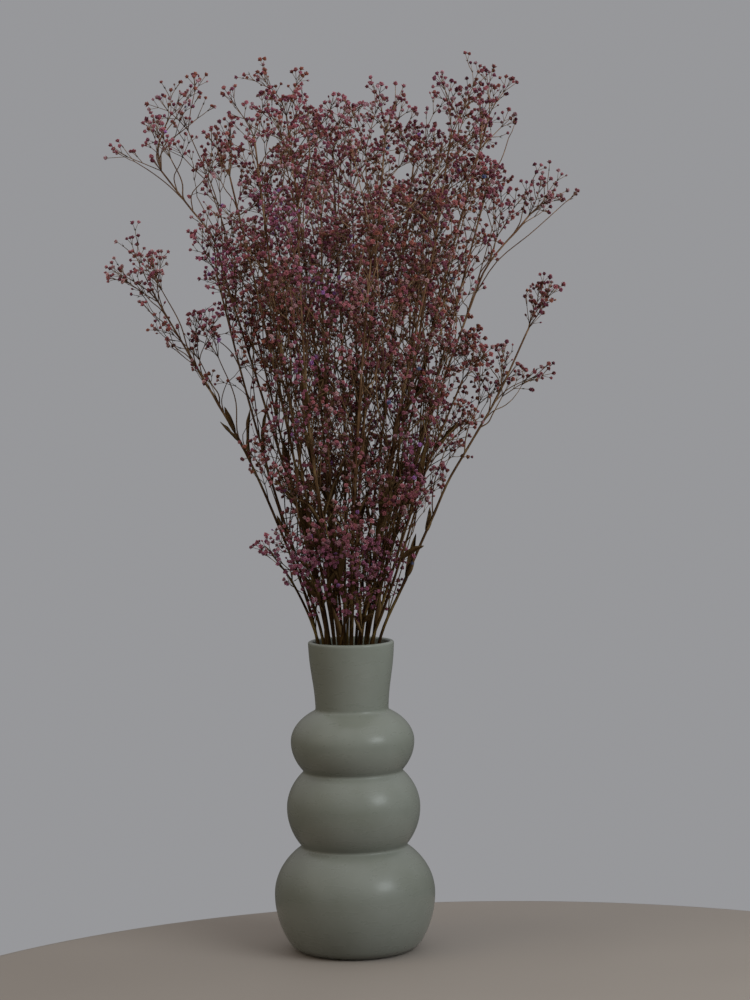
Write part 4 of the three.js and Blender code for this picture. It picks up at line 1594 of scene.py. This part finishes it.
# A round table top under the vase, in mm, with its rounded edge from below
TABLE_MIDDLE = (100, -330)
TABLE_BOTTOM = -30
TABLE_EDGE = [(508, TABLE_BOTTOM), (510, -28), (510, -4), (506, -0.5), (500, 0)]
TABLE_SIDES = 128

table = revolved(np.array(TABLE_EDGE), TABLE_MIDDLE, (TABLE_BOTTOM, 0), TABLE_SIDES)
table.piece("floor", new_material("table top", table_look), True)

# Lights: azimuth to the right of the viewer and elevation in degrees, distance and size in metres, power,
# colour, and whether the glaze mirrors it
LIGHTS = {
    "daylight": (50, 24, 1.6, (1.1, 1.1), 19.5, (0.88, 0.96, 1.0), False),
    "window": (50, 24, 2.4, (0.85, 0.6), 6, (0.9, 0.97, 1.0), True),
    "room": (-65, 25, 2.6, (1.8, 1.8), 14, (1.0, 0.88, 0.62), False),
}
LIT_MIDDLE = (0, 0, 0.32)
UPWARDS = point((0, 0, 1))


def placed(right, up, back, place):
    """The matrix of a lamp or camera that faces the other way than back."""
    return Matrix([*np.stack((right, up, back, place), 1).tolist(), (0, 0, 0, 1)])


def add_light(name, azimuth, elevation, distance, size, power, colour, is_mirrored):
    """A soft panel that faces the middle of the object."""
    data = bpy.data.lights.new(name, "AREA")
    data.shape = "RECTANGLE"
    data.size, data.size_y = size
    data.energy = power
    data.color = colour
    lamp = bpy.data.objects.new(name, data)
    turn = math.radians(azimuth)
    away = leaning(point((math.sin(turn), -math.cos(turn), 0)), UPWARDS, math.radians(elevation))
    across = unit(np.cross(UPWARDS, away))
    lamp.matrix_world = placed(across, np.cross(away, across), away, point(LIT_MIDDLE) + away * distance)
    lamp.visible_glossy = is_mirrored
    bpy.context.scene.collection.objects.link(lamp)


for name, values in LIGHTS.items():
    add_light(name, *values)

WALL_COLOUR = (0.31, 0.312, 0.325, 1)
CEILING = [(0.0, (0.08, 0.078, 0.075)), (0.9, (0.72, 0.725, 0.74))]


def make_world():
    """A plain pale wall all round, with more light from the ceiling than from the sides."""
    world = bpy.data.worlds.new("pale room")
    look = Look(world)
    wall = look.nodes["Background"]
    look.feed(wall, {"Color": WALL_COLOUR})
    rise = look.add("ShaderNodeSeparateXYZ", "Z", {"Vector": look.space.outputs["Generated"]})
    glow = look.add("ShaderNodeBackground", "Background", {"Color": look.ramp(rise, CEILING)})
    is_seen = look.add("ShaderNodeLightPath", "Is Camera Ray")
    inputs = {"Fac": is_seen, 1: glow, 2: wall.outputs["Background"]}
    look.feed(look.nodes["World Output"], {"Surface": look.add("ShaderNodeMixShader", "Shader", inputs)})
    return world


bpy.context.scene.world = make_world()
bpy.context.scene.view_settings.view_transform = "Standard"

# Camera
CAMERA_PLACE = (0.0212, -2.2, 0.49987)
CAMERA_PITCH = math.radians(3.56)
CAMERA_ROLL = math.radians(-0.92)
CAMERA_LENS = 99.02
CAMERA_SENSOR = 36

forward = point((0, math.cos(CAMERA_PITCH), -math.sin(CAMERA_PITCH)))
right = turned(forward, point((1, 0, 0)), -CAMERA_ROLL)
camera_data = bpy.data.cameras.new("camera")
camera_data.lens = CAMERA_LENS
camera_data.sensor_width = CAMERA_SENSOR
camera = bpy.data.objects.new("camera", camera_data)
camera.matrix_world = placed(right, np.cross(right, forward), -forward, CAMERA_PLACE)
bpy.context.scene.collection.objects.link(camera)
bpy.context.scene.camera = camera
